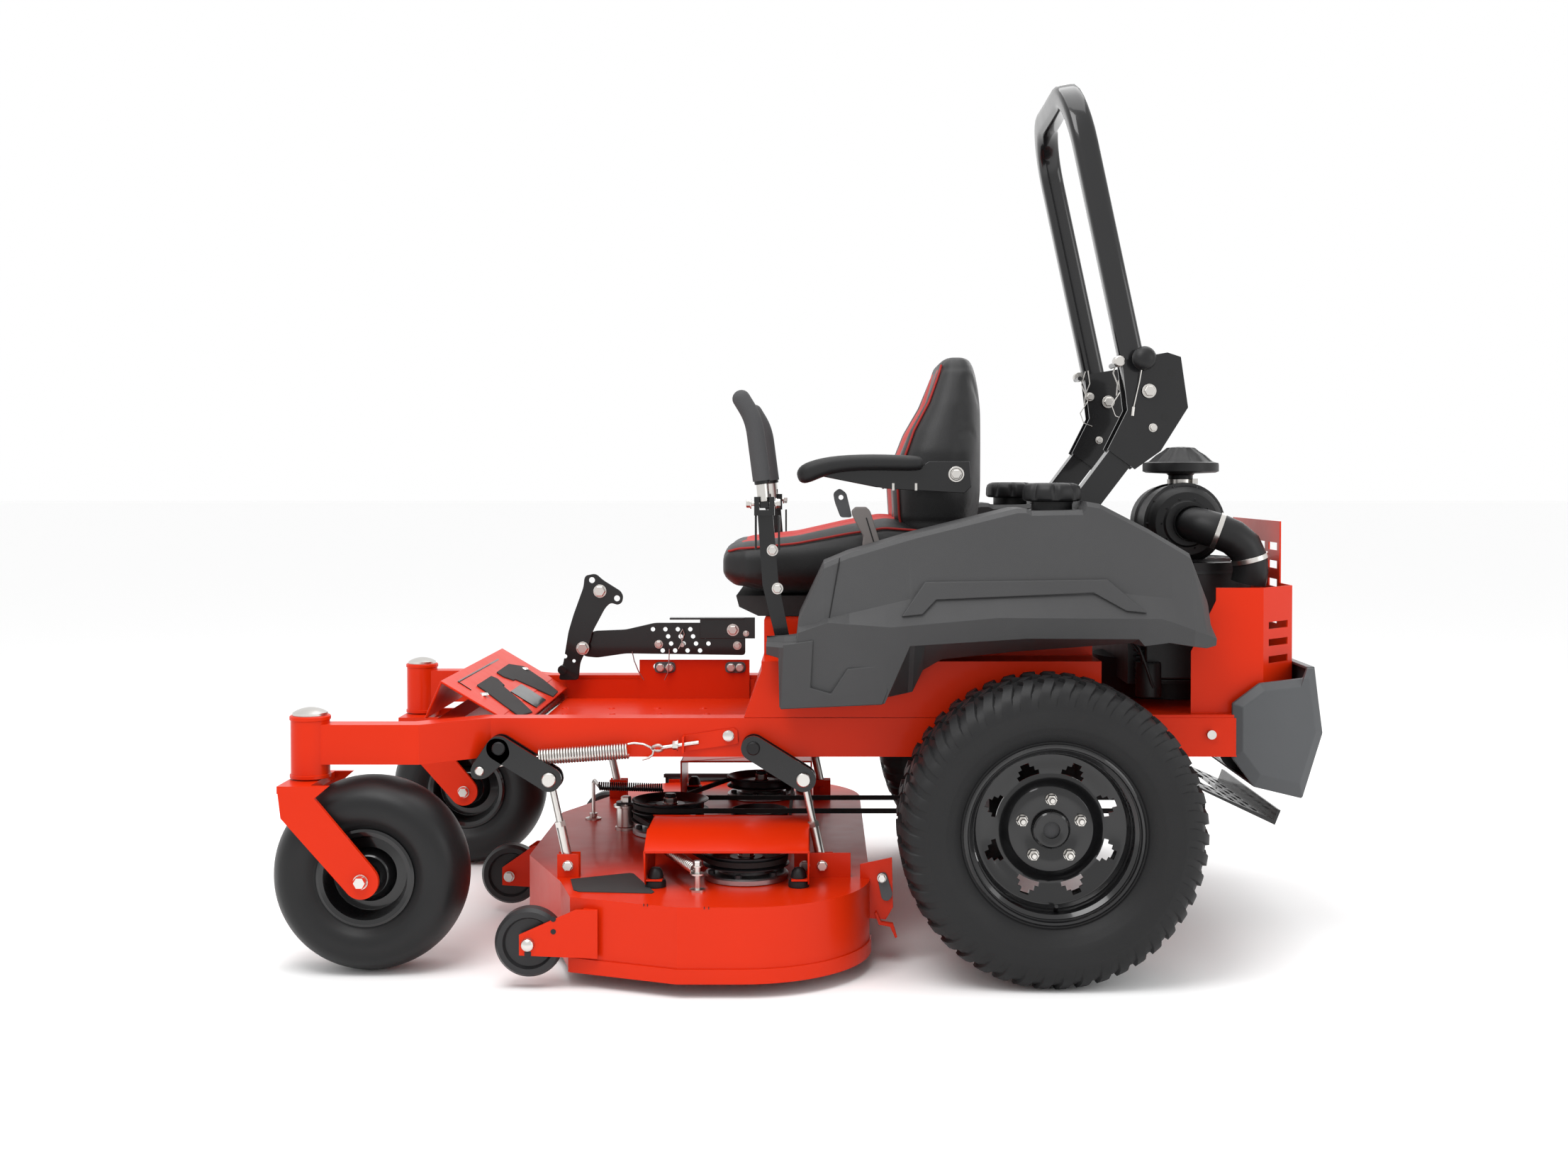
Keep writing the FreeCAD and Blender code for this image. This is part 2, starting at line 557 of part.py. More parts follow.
def make_deck():
    shell = deck_outline(0).extrude(V(0, 0, DECK_HIGH - DECK_LOW))
    shell.translate(V(0, 0, DECK_LOW))
    inside = deck_outline(SKIRT).extrude(V(0, 0, DECK_HIGH - DECK_LOW - SKIRT + 10))
    inside.translate(V(0, 0, DECK_LOW - 10))
    shell = shell.cut(inside)
    for x, y in spindle_places():
        shell = shell.cut(rod(V(x, y, 150), V(x, y, 180), 44))
    shell = shell.cut(box(500, 820, -700, -610, 20, 161))
    extras = []
    for pivot in (FRONT_LIFT, REAR_LIFT):
        tip = swung(pivot, LIFT_ARM, LIFT_ANGLE)
        x, z = tip[0] - LINK_RUN, tip[1] - LINK_DROP
        for side in (1, -1):
            for low, high in ((406, 410), (430, 434)):
                y0, y1 = sorted((side * low, side * high))
                extras.append(box(x - 21, x + 21, y0, y1, DECK_HIGH - 2, z + 22))
            y0, y1 = sorted((side * 400, side * 440))
            extras.append(cross_rod(x, z, y0, y1, 6))
    for side in (1, -1):
        near, far = sorted((side * 620, side * 625))
        extras.append(prism_xz([(840, 60), (984, 66), (984, 104), (880, 150), (840, 150)], near, far))
        near, far = sorted((side * 600, side * 622))
        extras.append(box(842, 868, near, far, 62, 148))
        near, far = sorted((side * 574, side * 632))
        extras.append(cross_rod(968, 86, near, far, 8))
    for y0, y1 in ((10, 15), (65, 70)):
        extras.append(prism_xz([(1026, 60), (1116, 66), (1116, 104), (1050, 150), (1026, 150)], y0, y1))
    extras.append(cross_rod(1100, 86, 4, 76, 8))
    for x in (566, 790):
        extras.append(box(x, x + 28, -644, -628, DECK_HIGH - 2, 173))
    shell = joined([shell] + extras)
    save("deck_shell", shell)
    wheel = lathe([(8.05, -20), (16, -20), (18, -12), (44, -12), (48, -20), (58, -20), (63.5, -12), (63.5, 12),
                   (58, 20), (48, 20), (44, 12), (18, 12), (16, 20), (8.05, 20)], V(0, 0, 0), "y")
    for name, x, y in (("left", 968, 597), ("right", 968, -597), ("centre", 1100, 40)):
        placed = wheel.copy()
        placed.translate(V(x, y, 86))
        save(name + "_anti_scalp_wheel", placed)


def make_deck_covers():
    outer = box(452, 764, 332, 532, DECK_HIGH + 0.2, 268)
    inner = box(455, 761, 300, 560, 160, 265)
    lip = box(452, 764, 529, 532, 236, 268)
    cover = joined([outer.cut(inner), lip])
    feet = [box(x, x + 30, 505, 540, DECK_HIGH + 0.2, DECK_HIGH + 6) for x in (456, 730)]
    cover = joined([cover] + feet)
    save("deck_covers", *both_sides(cover))


def make_spindles():
    housings = []
    for x, y in spindle_places():
        housings.append(lathe([(12.55, 100), (42, 100), (42, 165), (42, 166.1), (70, 166.1), (70, 178), (48, 188),
                               (12.55, 188)], V(x, y, 0)))
    post = rod(V(IDLER_X, 0, 166.1), V(IDLER_X, 0, 222), 6)
    base = rod(V(IDLER_X, 0, 166.1), V(IDLER_X, 0, 190), 14)
    save("spindle_housings", *housings, joined([post, base]))
    names = ("left_spindle", "centre_spindle", "right_spindle")
    for (x, y), name in zip(spindle_places(), names):
        groove = [(12.6, 192), (60, 192), (PULLEY_R, 194), (PULLEY_R, 196), (74, 199), (74, 213), (PULLEY_R, 216)]
        if name == "centre_spindle":
            groove += [(PULLEY_R, 218), (74, 220), (74, 236), (PULLEY_R, 239), (PULLEY_R, 241)]
        else:
            groove += [(PULLEY_R, 218)]
        high = groove[-1][1]
        pulley = lathe(groove + [(40, high), (12.6, high)], V(x, y, 0))
        shaft = rod(V(x, y, 36), V(x, y, high + 14), 12.5)
        blade = box(-BLADE_LENGTH / 2, BLADE_LENGTH / 2, -31, 31, 42, 48)
        blade.rotate(V(0, 0, 0), V(0, 0, 1), 35 if y else 90)
        blade.translate(V(x, y, 0))
        corner = rod(V(x, y, 30), V(x, y, 60), BLADE_LENGTH / 2)
        blade = blade.common(corner).cut(rod(V(x, y, 30), V(x, y, 60), 12.6))
        head = rod(V(x, y, 30), V(x, y, 41.9), 22)
        spacer = rod(V(x, y, 48.1), V(x, y, 98), 22).cut(rod(V(x, y, 40), V(x, y, 100), 12.6))
        save(name, shaft.fuse(head), pulley, blade, spacer)
    idler = lathe([(6.05, 192), (20, 192), (22, 198), (56, 200), (60, 194), (62, 194), (62, 218), (60, 218),
                   (56, 206), (22, 208), (20, 214), (6.05, 214)], V(IDLER_X, 0, 0))
    save("idler_pulley", idler)
    clutch = lathe([(14.05, 200), (60, 200), (78, 214), (78, 217), (70, 220), (70, 236), (78, 239), (78, 242),
                    (64, 244), (64, 275), (14.05, 275)], V(CLUTCH_X, 0, 0))
    save("clutch_pulley", clutch)


def belt_loop(points, low, high):
    wire = Part.makePolygon([V(x, y, low) for x, y in points + points[:1]])
    face = Part.Face(wire)
    outer = face.makeOffset2D(81)
    inner = face.makeOffset2D(74.6)
    return outer.cut(inner).extrude(V(0, 0, high - low))


def make_belts():
    spindle_belt = belt_loop([OUTER_SPINDLE, CENTRE_SPINDLE, (OUTER_SPINDLE[0], -OUTER_SPINDLE[1])], 201, 211)
    drive = []
    for radius in (81, 74.6):
        drive.append(joined([
            rod(V(CLUTCH_X, 0, 223), V(CLUTCH_X, 0, 233), radius),
            rod(V(CENTRE_SPINDLE[0], 0, 223), V(CENTRE_SPINDLE[0], 0, 233), radius),
            box(CLUTCH_X, CENTRE_SPINDLE[0], -radius, radius, 223, 233),
        ]))
    save("deck_belts", spindle_belt, drive[0].cut(drive[1]))


def make_chute():
    flap = [(-636, 186), (-684, 180), (-868, 96), (-866, 88), (-682, 171), (-636, 177)]
    flap = prism_yz(flap, 552, 832)
    cheek = prism_yz([(-684, 172), (-862, 90), (-856, 64), (-690, 64)], 552, 558)
    other = cheek.copy()
    other.translate(V(274, 0, 0))
    save("discharge_chute", joined([flap, cheek, other]))


def make_control_panel():
    panel = prism_xz([(290, 817), (380, 793.5), (380, 812), (290, 836)], -400, -300)
    save("control_panel", panel)


def make_fasteners():
    pieces = []
    for side in (1, -1):
        y = side * CASTER_Y
        cap = Part.makeSphere(60, V(CASTER_SPINDLE_X, y, 443)).common(
            rod(V(CASTER_SPINDLE_X, y, TUBE_HIGH + 0.2), V(CASTER_SPINDLE_X, y, 520), 33))
        pieces.append(cap)
        for x, z in ((611, 440), (-335, 440)):
            y0, y1 = sorted((side * 400.2, side * 408))
            pieces.append(cross_rod(x, z, y0, y1, 9))
    save("fasteners", *pieces)


os.makedirs("parts", exist_ok=True)
make_frame()
make_floor()
make_toe_guard()
make_seat_box()
make_hydro_drives()
make_engine()
make_air_cleaner()
make_muffler()
make_bumper()
make_engine_guard()
make_tanks()
make_rops()
make_seat()
make_armrests()
make_levers()
make_brake()
make_rear_wheels()
make_casters()
make_lift_gear()
make_lift_pedal()
make_springs()
make_deck()
make_deck_covers()
make_spindles()
make_belts()
make_chute()
make_control_panel()
make_fasteners()
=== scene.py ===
import bmesh
import bpy
import json
import math
from mathutils import Matrix, Vector


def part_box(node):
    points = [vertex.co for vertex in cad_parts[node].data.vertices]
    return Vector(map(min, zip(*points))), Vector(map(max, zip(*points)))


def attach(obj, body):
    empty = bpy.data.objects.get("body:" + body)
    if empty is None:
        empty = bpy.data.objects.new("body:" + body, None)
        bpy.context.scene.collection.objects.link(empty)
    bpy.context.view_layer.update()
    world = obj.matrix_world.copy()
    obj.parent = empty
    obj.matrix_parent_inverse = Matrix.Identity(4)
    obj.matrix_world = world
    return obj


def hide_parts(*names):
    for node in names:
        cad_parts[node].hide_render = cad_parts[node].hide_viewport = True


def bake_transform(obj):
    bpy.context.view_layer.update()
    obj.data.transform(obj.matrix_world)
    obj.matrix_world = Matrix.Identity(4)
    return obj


# Looks of the zero turn mower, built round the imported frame.
# Lengths below are millimetres in the machine's own sense: x forward from the rear axle,
# y to the driver's left of the mid-plane, z up from the ground. at() turns them into the row frame.

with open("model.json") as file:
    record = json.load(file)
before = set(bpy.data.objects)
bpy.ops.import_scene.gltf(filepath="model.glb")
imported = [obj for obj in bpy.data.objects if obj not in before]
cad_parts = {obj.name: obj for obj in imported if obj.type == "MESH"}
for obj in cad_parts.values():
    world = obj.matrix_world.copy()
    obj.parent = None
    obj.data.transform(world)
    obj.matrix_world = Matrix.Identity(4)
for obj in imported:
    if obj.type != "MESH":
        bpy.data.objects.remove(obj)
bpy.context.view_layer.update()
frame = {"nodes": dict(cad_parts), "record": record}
nodes = frame["nodes"]

MM = 0.001
left_low, left_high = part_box("left_rear_tyre")
right_low, right_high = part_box("right_rear_tyre")
AXLE_X = (left_low.x + left_high.x) / 2
MID_Y = (left_low.y + left_high.y + right_low.y + right_high.y) / 4
WHEEL_Y = (left_low.y + left_high.y) / 2 / MM - MID_Y / MM
TYRE_R = (left_high.x - left_low.x) / 2 / MM


def at(x, y, z):
    return Vector((AXLE_X + x * MM, MID_Y + y * MM, z * MM))


def middle(node):
    """Middle of a CAD node's box, in the machine's millimetres."""
    low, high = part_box(node)
    centre = (low + high) / 2
    return Vector(((centre.x - AXLE_X) / MM, (centre.y - MID_Y) / MM, centre.z / MM))


# ---- forms: each returns (points, faces) in millimetres
def lathe(profile, centre, axis="y", steps=48, closed=False):
    """A turned form. The profile is (radius, distance along the axis) pairs."""
    points, faces = [], []
    count = len(profile)
    for step in range(steps):
        turn = 2 * math.pi * step / steps
        for radius, along in profile:
            a, b = radius * math.cos(turn), radius * math.sin(turn)
            offset = {"x": (along, a, b), "y": (a, along, b), "z": (a, b, along)}[axis]
            points.append(Vector(centre) + Vector(offset))
    for step in range(steps):
        here, there = step * count, (step + 1) % steps * count
        for index in range(count if closed else count - 1):
            other = (index + 1) % count
            faces.append((here + index, here + other, there + other, there + index))
    return points, faces


def prism(outline, low, high, plane="xz"):
    """A flat outline given thickness across its plane."""
    points = []
    for level in (low, high):
        for a, b in outline:
            points.append({"xz": Vector((a, level, b)), "xy": Vector((a, b, level)),
                           "yz": Vector((level, a, b))}[plane])
    count = len(outline)
    faces = [tuple(range(count)), tuple(range(2 * count - 1, count - 1, -1))]
    for index in range(count):
        other = (index + 1) % count
        faces.append((index, other, count + other, count + index))
    return points, faces


def block(x0, x1, y0, y1, z0, z1):
    return prism([(x0, y0), (x1, y0), (x1, y1), (x0, y1)], z0, z1, "xy")


def tube(path, radius, steps=12, closed=False):
    """A round bar along a path of points."""
    path = [Vector(p) for p in path]
    points, faces = [], []
    side = None
    for index, point in enumerate(path):
        before = path[index - 1] if index or closed else point
        after = path[(index + 1) % len(path)] if index + 1 < len(path) or closed else point
        along = (after - before).normalized()
        if side is None:
            side = along.orthogonal().normalized()
        side = (side - along * side.dot(along)).normalized()
        across = along.cross(side)
        size = radius[index] if isinstance(radius, (list, tuple)) else radius
        for step in range(steps):
            turn = 2 * math.pi * step / steps
            points.append(point + (side * math.cos(turn) + across * math.sin(turn)) * size)
    rings = len(path)
    for ring in range(rings if closed else rings - 1):
        here, there = ring * steps, (ring + 1) % rings * steps
        for step in range(steps):
            other = (step + 1) % steps
            faces.append((here + step, here + other, there + other, there + step))
    if not closed:
        faces.append(tuple(range(steps - 1, -1, -1)))
        faces.append(tuple(range((rings - 1) * steps, rings * steps)))
    return points, faces


def loft(rings, caps=True):
    """A skin through closed rings that have the same number of points."""
    count = len(rings[0])
    points = [Vector(p) for ring in rings for p in ring]
    faces = []
    for index in range(len(rings) - 1):
        here, there = index * count, (index + 1) * count
        for step in range(count):
            other = (step + 1) % count
            faces.append((here + step, here + other, there + other, there + step))
    if caps:
        faces.append(tuple(range(count - 1, -1, -1)))
        faces.append(tuple(range((len(rings) - 1) * count, len(rings) * count)))
    return points, faces


def rounded(outline, radius, steps=5):
    """The outline with its corners turned into arcs."""
    result = []
    count = len(outline)
    for index in range(count):
        corner = Vector(outline[index])
        back = Vector(outline[index - 1]) - corner
        forward = Vector(outline[(index + 1) % count]) - corner
        reach = min(radius, back.length * 0.45, forward.length * 0.45)
        start = corner + back.normalized() * reach
        end = corner + forward.normalized() * reach
        for step in range(steps + 1):
            t = step / steps
            result.append(tuple(start * (1 - t) ** 2 + corner * 2 * t * (1 - t) + end * t ** 2))
    return result


def flipped(form):
    points, faces = form
    return [Vector((p.x, -p.y, p.z)) for p in points], [tuple(reversed(f)) for f in faces]


def moved(form, turn=None, shift=(0, 0, 0)):
    points, faces = form
    turn = turn or Matrix.Identity(3)
    return [turn @ p + Vector(shift) for p in points], faces


def span(side, near, far):
    """A stretch of width on the left (side 1) or right (side -1), as its lower and upper ends."""
    return sorted((side * near, side * far))


def outward(side):
    """The direction away from the middle of the machine."""
    return "+y" if side > 0 else "-y"


def stud(centre, side, radius, near, far):
    """A round pin head across the machine, with its outer edge broken by 2 mm."""
    ends = [(0, near), (radius, near), (radius, far - 2), (radius - 2, far), (0, far)]
    return lathe([(r, side * along) for r, along in ends], centre)


def hex_bolt(centre, axis, across=16, head=8, washer=1.0):
    """A hex head on its washer; axis is +x, -y and so on, the way the head looks."""
    radius = across / 2 / math.cos(math.pi / 6)
    forms = [lathe([(0, 0), (across * 0.72 * washer, 0), (across * 0.72 * washer, 2.2), (0, 2.2)],
                   (0, 0, 0), "z", 24)]
    points, faces = [], []
    levels = ((radius, 2.2), (radius, 2.2 + head * 0.85), (radius * 0.86, 2.2 + head))
    for size, level in levels:
        for corner in range(6):
            turn = math.pi / 3 * corner
            points.append(Vector((size * math.cos(turn), size * math.sin(turn), level)))
    for ring in range(2):
        for corner in range(6):
            other = (corner + 1) % 6
            faces.append((ring * 6 + corner, ring * 6 + other, ring * 6 + 6 + other, ring * 6 + 6 + corner))
    faces.append(tuple(range(12, 18)))
    faces.append(tuple(range(5, -1, -1)))
    forms.append((points, faces))
    way = {"+x": (1, 0, 0), "-x": (-1, 0, 0), "+y": (0, 1, 0), "-y": (0, -1, 0), "+z": (0, 0, 1),
           "-z": (0, 0, -1)}[axis]
    turn = Vector((0, 0, 1)).rotation_difference(Vector(way)).to_matrix()
    return [moved(form, turn, centre) for form in forms]


def build(name, body, look, forms, bevel=0.0, angle=32, replaces=(), segments=2, subdivide=0):
    """One Blender piece made of forms, riding on a CAD body, or on none when it is going to be blended."""
    mesh = bpy.data.meshes.new(name)
    grid = bmesh.new()
    for points, faces in forms:
        made = [grid.verts.new(at(p.x, p.y, p.z)) for p in points]
        for face in faces:
            if len(set(face)) > 2:
                try:
                    grid.faces.new([made[i] for i in face])
                except ValueError:
                    continue
    bmesh.ops.remove_doubles(grid, verts=grid.verts, dist=0.00002)
    bmesh.ops.dissolve_degenerate(grid, edges=grid.edges, dist=0.00001)
    bmesh.ops.recalc_face_normals(grid, faces=grid.faces)
    grid.to_mesh(mesh)
    grid.free()
    for polygon in mesh.polygons:
        polygon.use_smooth = True
    mesh.set_sharp_from_angle(angle=math.radians(angle))
    piece = bpy.data.objects.new(name, mesh)
    bpy.context.scene.collection.objects.link(piece)
    mesh.materials.append(look)
    if subdivide:
        soften = piece.modifiers.new("subdivision", "SUBSURF")
        soften.levels = soften.render_levels = subdivide
    if bevel:
        edge = piece.modifiers.new("edges", "BEVEL")
        edge.width = bevel * MM
        edge.segments = segments
        edge.limit_method = "ANGLE"
        edge.angle_limit = math.radians(angle)
        edge.harden_normals = True
    if body:
        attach(piece, body)
    if replaces:
        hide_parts(*replaces)
    return piece


# ---- materials
def new_look(name, slot, colour, roughness, metallic=0.0, coat=0.0, grain=0.0, scale=300.0, variation=0.08,
             sheen=0.0, wrinkle=0.0, wrinkle_scale=40.0, specular=0.28, stretch=(1, 1, 1)):
    """A procedural finish: patchy colour, uneven roughness, fine grain and broad unevenness."""
    look = bpy.data.materials.new(name)
    look["slot"] = slot
    look.use_nodes = True
    tree = look.node_tree
    shader = tree.nodes["Principled BSDF"]
    shader.inputs["Metallic"].default_value = metallic
    shader.inputs["Coat Weight"].default_value = coat
    shader.inputs["Coat Roughness"].default_value = 0.06
    shader.inputs["Sheen Weight"].default_value = sheen
    shader.inputs["Specular IOR Level"].default_value = specular
    where = tree.nodes.new("ShaderNodeTexCoord")
    fit = tree.nodes.new("ShaderNodeMapping")
    fit.inputs["Scale"].default_value = stretch
    tree.links.new(where.outputs["Object"], fit.inputs["Vector"])

    def noise(size, detail):
        texture = tree.nodes.new("ShaderNodeTexNoise")
        texture.inputs["Scale"].default_value = size
        texture.inputs["Detail"].default_value = detail
        tree.links.new(fit.outputs["Vector"], texture.inputs["Vector"])
        return texture

    patch = noise(7.0, 4.0)
    mix = tree.nodes.new("ShaderNodeMix")
    mix.data_type = "RGBA"
    mix.inputs["A"].default_value = [c * (1 - variation) for c in colour] + [1]
    mix.inputs["B"].default_value = [min(1.0, c * (1 + variation)) for c in colour] + [1]
    tree.links.new(patch.outputs["Fac"], mix.inputs["Factor"])
    tree.links.new(mix.outputs["Result"], shader.inputs["Base Color"])
    rough = tree.nodes.new("ShaderNodeMapRange")
    rough.inputs["To Min"].default_value = max(0.02, roughness - 0.06)
    rough.inputs["To Max"].default_value = min(1.0, roughness + 0.06)
    tree.links.new(noise(23.0, 3.0).outputs["Fac"], rough.inputs["Value"])
    tree.links.new(rough.outputs["Result"], shader.inputs["Roughness"])
    normal = None
    for strength, size, distance in ((wrinkle, wrinkle_scale, 0.004), (grain, scale, 0.0006)):
        if strength:
            bump = tree.nodes.new("ShaderNodeBump")
            bump.inputs["Strength"].default_value = strength
            bump.inputs["Distance"].default_value = distance
            tree.links.new(noise(size, 2.0).outputs["Fac"], bump.inputs["Height"])
            if normal:
                tree.links.new(normal.outputs["Normal"], bump.inputs["Normal"])
            normal = bump
    if normal:
        tree.links.new(normal.outputs["Normal"], shader.inputs["Normal"])
    return look


RED = (0.58, 0.022, 0.002)
LOOKS = {
    "red": new_look("red_enamel", "red_paint", RED, 0.32, coat=0.06, grain=0.04, scale=160,
                    variation=0.04, specular=0.12),
    "black_steel": new_look("black_enamel", "black_steel", (0.005, 0.005, 0.0055), 0.26, coat=0.35,
                            grain=0.05, scale=250),
    "rim": new_look("rim_enamel", "black_rim", (0.005, 0.005, 0.0055), 0.22, coat=0.5, grain=0.03,
                    scale=200),
    "grey_steel": new_look("grey_enamel", "grey_steel", (0.075, 0.078, 0.082), 0.42, grain=0.25, scale=700),
    "charcoal": new_look("charcoal_plastic", "grey_plastic", (0.040, 0.040, 0.041), 0.55, grain=0.65,
                         scale=1300, variation=0.10, specular=0.35),
    "black_plastic": new_look("black_plastic", "black_plastic", (0.009, 0.009, 0.0095), 0.42, grain=0.35,
                              scale=900),
    "rubber": new_look("tyre_rubber", "tyre", (0.0085, 0.0085, 0.009), 0.55, grain=0.3, scale=420,
                       wrinkle=0.06, wrinkle_scale=30, variation=0.18),
    "caster_rubber": new_look("caster_rubber", "tyre", (0.008, 0.008, 0.0085), 0.42, grain=0.22, scale=260,
                              wrinkle=0.12, wrinkle_scale=14, variation=0.25),
    "zinc": new_look("zinc_plate", "zinc", (0.62, 0.60, 0.57), 0.30, metallic=1.0, grain=0.08, scale=500,
                     variation=0.12),
    "cast": new_look("cast_aluminium", "cast_metal", (0.46, 0.46, 0.47), 0.38, metallic=1.0, grain=0.3,
                     scale=300),
    "drive": new_look("drive_casting", "drive_casting", (0.035, 0.035, 0.037), 0.5, grain=0.4, scale=350),
    "engine": new_look("engine_enamel", "engine_black", (0.014, 0.014, 0.015), 0.42, grain=0.25, scale=400),
    "pulley": new_look("pulley_steel", "pulley_steel", (0.022, 0.022, 0.024), 0.33, metallic=0.5,
                       grain=0.08, scale=300),
    "belt": new_look("belt_rubber", "belt_rubber", (0.014, 0.014, 0.014), 0.72, grain=0.4, scale=900),
    "chute": new_look("chute_rubber", "chute_rubber", (0.02, 0.02, 0.021), 0.62, grain=0.4, scale=500),
    "scalp": new_look("scalp_plastic", "wheel_plastic", (0.02, 0.02, 0.021), 0.36, grain=0.15, scale=500),
    "vinyl": new_look("seat_vinyl", "seat_vinyl", (0.010, 0.010, 0.0105), 0.42, grain=0.75, scale=950,
                      wrinkle=0.08, wrinkle_scale=18, sheen=0.05),
    "red_vinyl": new_look("red_vinyl", "seat_vinyl", (0.42, 0.022, 0.018), 0.5, grain=0.75, scale=950),
    "thread": new_look("seam_thread", "seat_vinyl", (0.28, 0.015, 0.012), 0.7, grain=0.3, scale=1500),
    "boot": new_look("boot_rubber", "seat_rubber", (0.022, 0.022, 0.022), 0.6, grain=0.4, scale=500),
    "armrest": new_look("armrest_foam", "armrest_foam", (0.011, 0.011, 0.0115), 0.5, grain=0.6, scale=900),
    "grip": new_look("grip_foam", "foam_grip", (0.052, 0.052, 0.054), 0.78, grain=0.9, scale=520,
                     variation=0.2),
    "brake": new_look("brake_plastic", "brake_plastic", (0.15, 0.135, 0.13), 0.42, grain=0.3, scale=800),
    # Near-black gloss: the real blank toe plate, and also painted shade for holes, notches and gaps.
    "plate_black_and_painted_shade": new_look("black_plate_and_painted_shade", "black_plastic", (0.006, 0.006, 0.006), 0.22, coat=0.3, grain=0.02,
                      scale=100),
    "pad": new_look("tread_pad", "black_plastic", (0.035, 0.034, 0.034), 0.8, grain=1.0, scale=1500),
}
NODE_LOOKS = {
    "red_paint": "red", "black_steel": "black_steel", "black_rim": "rim", "grey_steel": "grey_steel",
    "grey_plastic": "charcoal", "black_plastic": "black_plastic", "tyre": "rubber", "zinc": "zinc",
    "cast_metal": "cast", "drive_casting": "drive", "engine_black": "engine", "pulley_steel": "pulley",
    "belt_rubber": "belt", "chute_rubber": "chute", "wheel_plastic": "scalp", "seat_vinyl": "vinyl",
    "seat_rubber": "boot", "armrest_foam": "armrest", "foam_grip": "grip", "brake_plastic": "brake",
}


def dress_cad_nodes():
    """Every CAD node that stays in view takes the finish of its slot."""
    for entry in frame["record"]["subparts"]:
        node = nodes[entry["node"]]
        look = LOOKS[NODE_LOOKS[entry["material_slot"]]]
        node.data.materials.clear()
        node.data.materials.append(look)
    for name in ("left_caster_tyre", "right_caster_tyre"):
        nodes[name].data.materials[0] = LOOKS["caster_rubber"]


# ---- camera, light and floor
def set_stage():
    camera_data = bpy.data.cameras.new("camera")
    camera_data.lens = 40.0
    camera_data.sensor_width = 36.0
    camera_data.shift_x = -0.0235
    camera_data.shift_y = -0.0461
    camera = bpy.data.objects.new("camera", camera_data)
    bpy.context.scene.collection.objects.link(camera)
    camera.location = at(430, 3805, 940)
    camera.rotation_euler = (math.radians(90 - 1.2), 0, math.radians(180))
    bpy.context.scene.camera = camera

    floor_mesh = bpy.data.meshes.new("floor")
    reach = 70.0
    floor_mesh.from_pydata([(-reach, -reach, 0), (reach, -reach, 0), (reach, reach, 0), (-reach, reach, 0)],
                           [], [(0, 1, 2, 3)])
    floor = bpy.data.objects.new("floor", floor_mesh)
    bpy.context.scene.collection.objects.link(floor)
    pale = bpy.data.materials.new("pale_floor")
    pale.use_nodes = True
    pale.node_tree.nodes["Principled BSDF"].inputs["Base Color"].default_value = (0.97, 0.97, 0.97, 1)
    pale.node_tree.nodes["Principled BSDF"].inputs["Roughness"].default_value = 0.9
    floor_mesh.materials.append(pale)

    bpy.context.scene.view_settings.view_transform = "Standard"
    world = bpy.data.worlds.new("studio")
    bpy.context.scene.world = world
    world.use_nodes = True
    world.node_tree.nodes["Background"].inputs["Color"].default_value = (1, 1, 1, 1)
    world.node_tree.nodes["Background"].inputs["Strength"].default_value = 1.0
    for name, place, size, power in (
        ("key", (1300, 1900, 3300), 1.8, 62.0), ("fill", (-2600, 2000, 1500), 1.4, 16.0),
        ("top", (200, -300, 3600), 2.6, 48.0), ("back", (-1200, -2800, 2300), 2.0, 18.0),
    ):
        lamp_data = bpy.data.lights.new(name, "AREA")
        lamp_data.shape = "SQUARE"
        lamp_data.size = size
        lamp_data.energy = power
        lamp = bpy.data.objects.new(name, lamp_data)
        bpy.context.scene.collection.objects.link(lamp)
        lamp.location = at(*place)
        aim = at(300, 0, 500) - lamp.location
        lamp.rotation_euler = aim.to_track_quat("-Z", "Y").to_euler()


# ---- tyres
def lug(centre, turn, path, width, depth=9.0):
    """One tread block: path is (across the tyre, radius, sideways shift) from edge to middle."""
    rings = []
    for across, radius, shift in path:
        ring = []
        for side, level in ((-0.5, radius - depth), (0.5, radius - depth), (0.42, radius), (-0.42, radius)):
            angle = turn + (shift + side * width) / radius
            ring.append((centre[0] + level * math.cos(angle), centre[1] + across,
                         centre[2] + level * math.sin(angle)))
        rings.append(ring)
    return loft(rings)


def make_rear_tyre(side, name):
    centre = (0, side * WHEEL_Y, TYRE_R)
    half = [(158, 84), (172, 84), (176, 90), (190, 102), (200, 107.5), (203, 110), (212, 112.5),
            (216, 114.6),
            (231, 115.6), (235, 117.2), (240, 116.4), (252, 113), (266, 105), (275, 90), (279, 60),
            (280, 0)]
    section = [(r, a) for r, a in half] + [(r, -a) for r, a in half[-2::-1]]
    section += [(158, -74), (176, -70), (215, -98), (262, -84), (268, 0), (262, 84), (215, 98), (176, 70),
                (158, 74)]
    forms = [lathe(section, centre, "y", 96, closed=True)]
    count = 46
    shoulder = [(116.3, 243, -7), (114, 255, -6), (107, 269, -2), (96, 279, 3), (82, 284.5, 7),
                (64, 286, 8), (50, 286, 3)]
    inner = [(44, 286, -9), (30, 286, -4), (14, 286, 3), (2, 286, 6)]
    for index in range(count):
        turn = 2 * math.pi * index / count
        for way in (1, -1):
            offset = turn + (0.5 * (way < 0)) * 2 * math.pi / count
            forms.append(lug(centre, offset, [(a * way, r, s * 1.25) for a, r, s in shoulder], 22))
            forms.append(lug(centre, offset + 0.03, [(a * way, r, s) for a, r, s in inner], 19))
    build(name + "_rear_tyre_tread", name + "_rear_wheel", LOOKS["rubber"], forms, angle=38,
          replaces=(name + "_rear_tyre",))


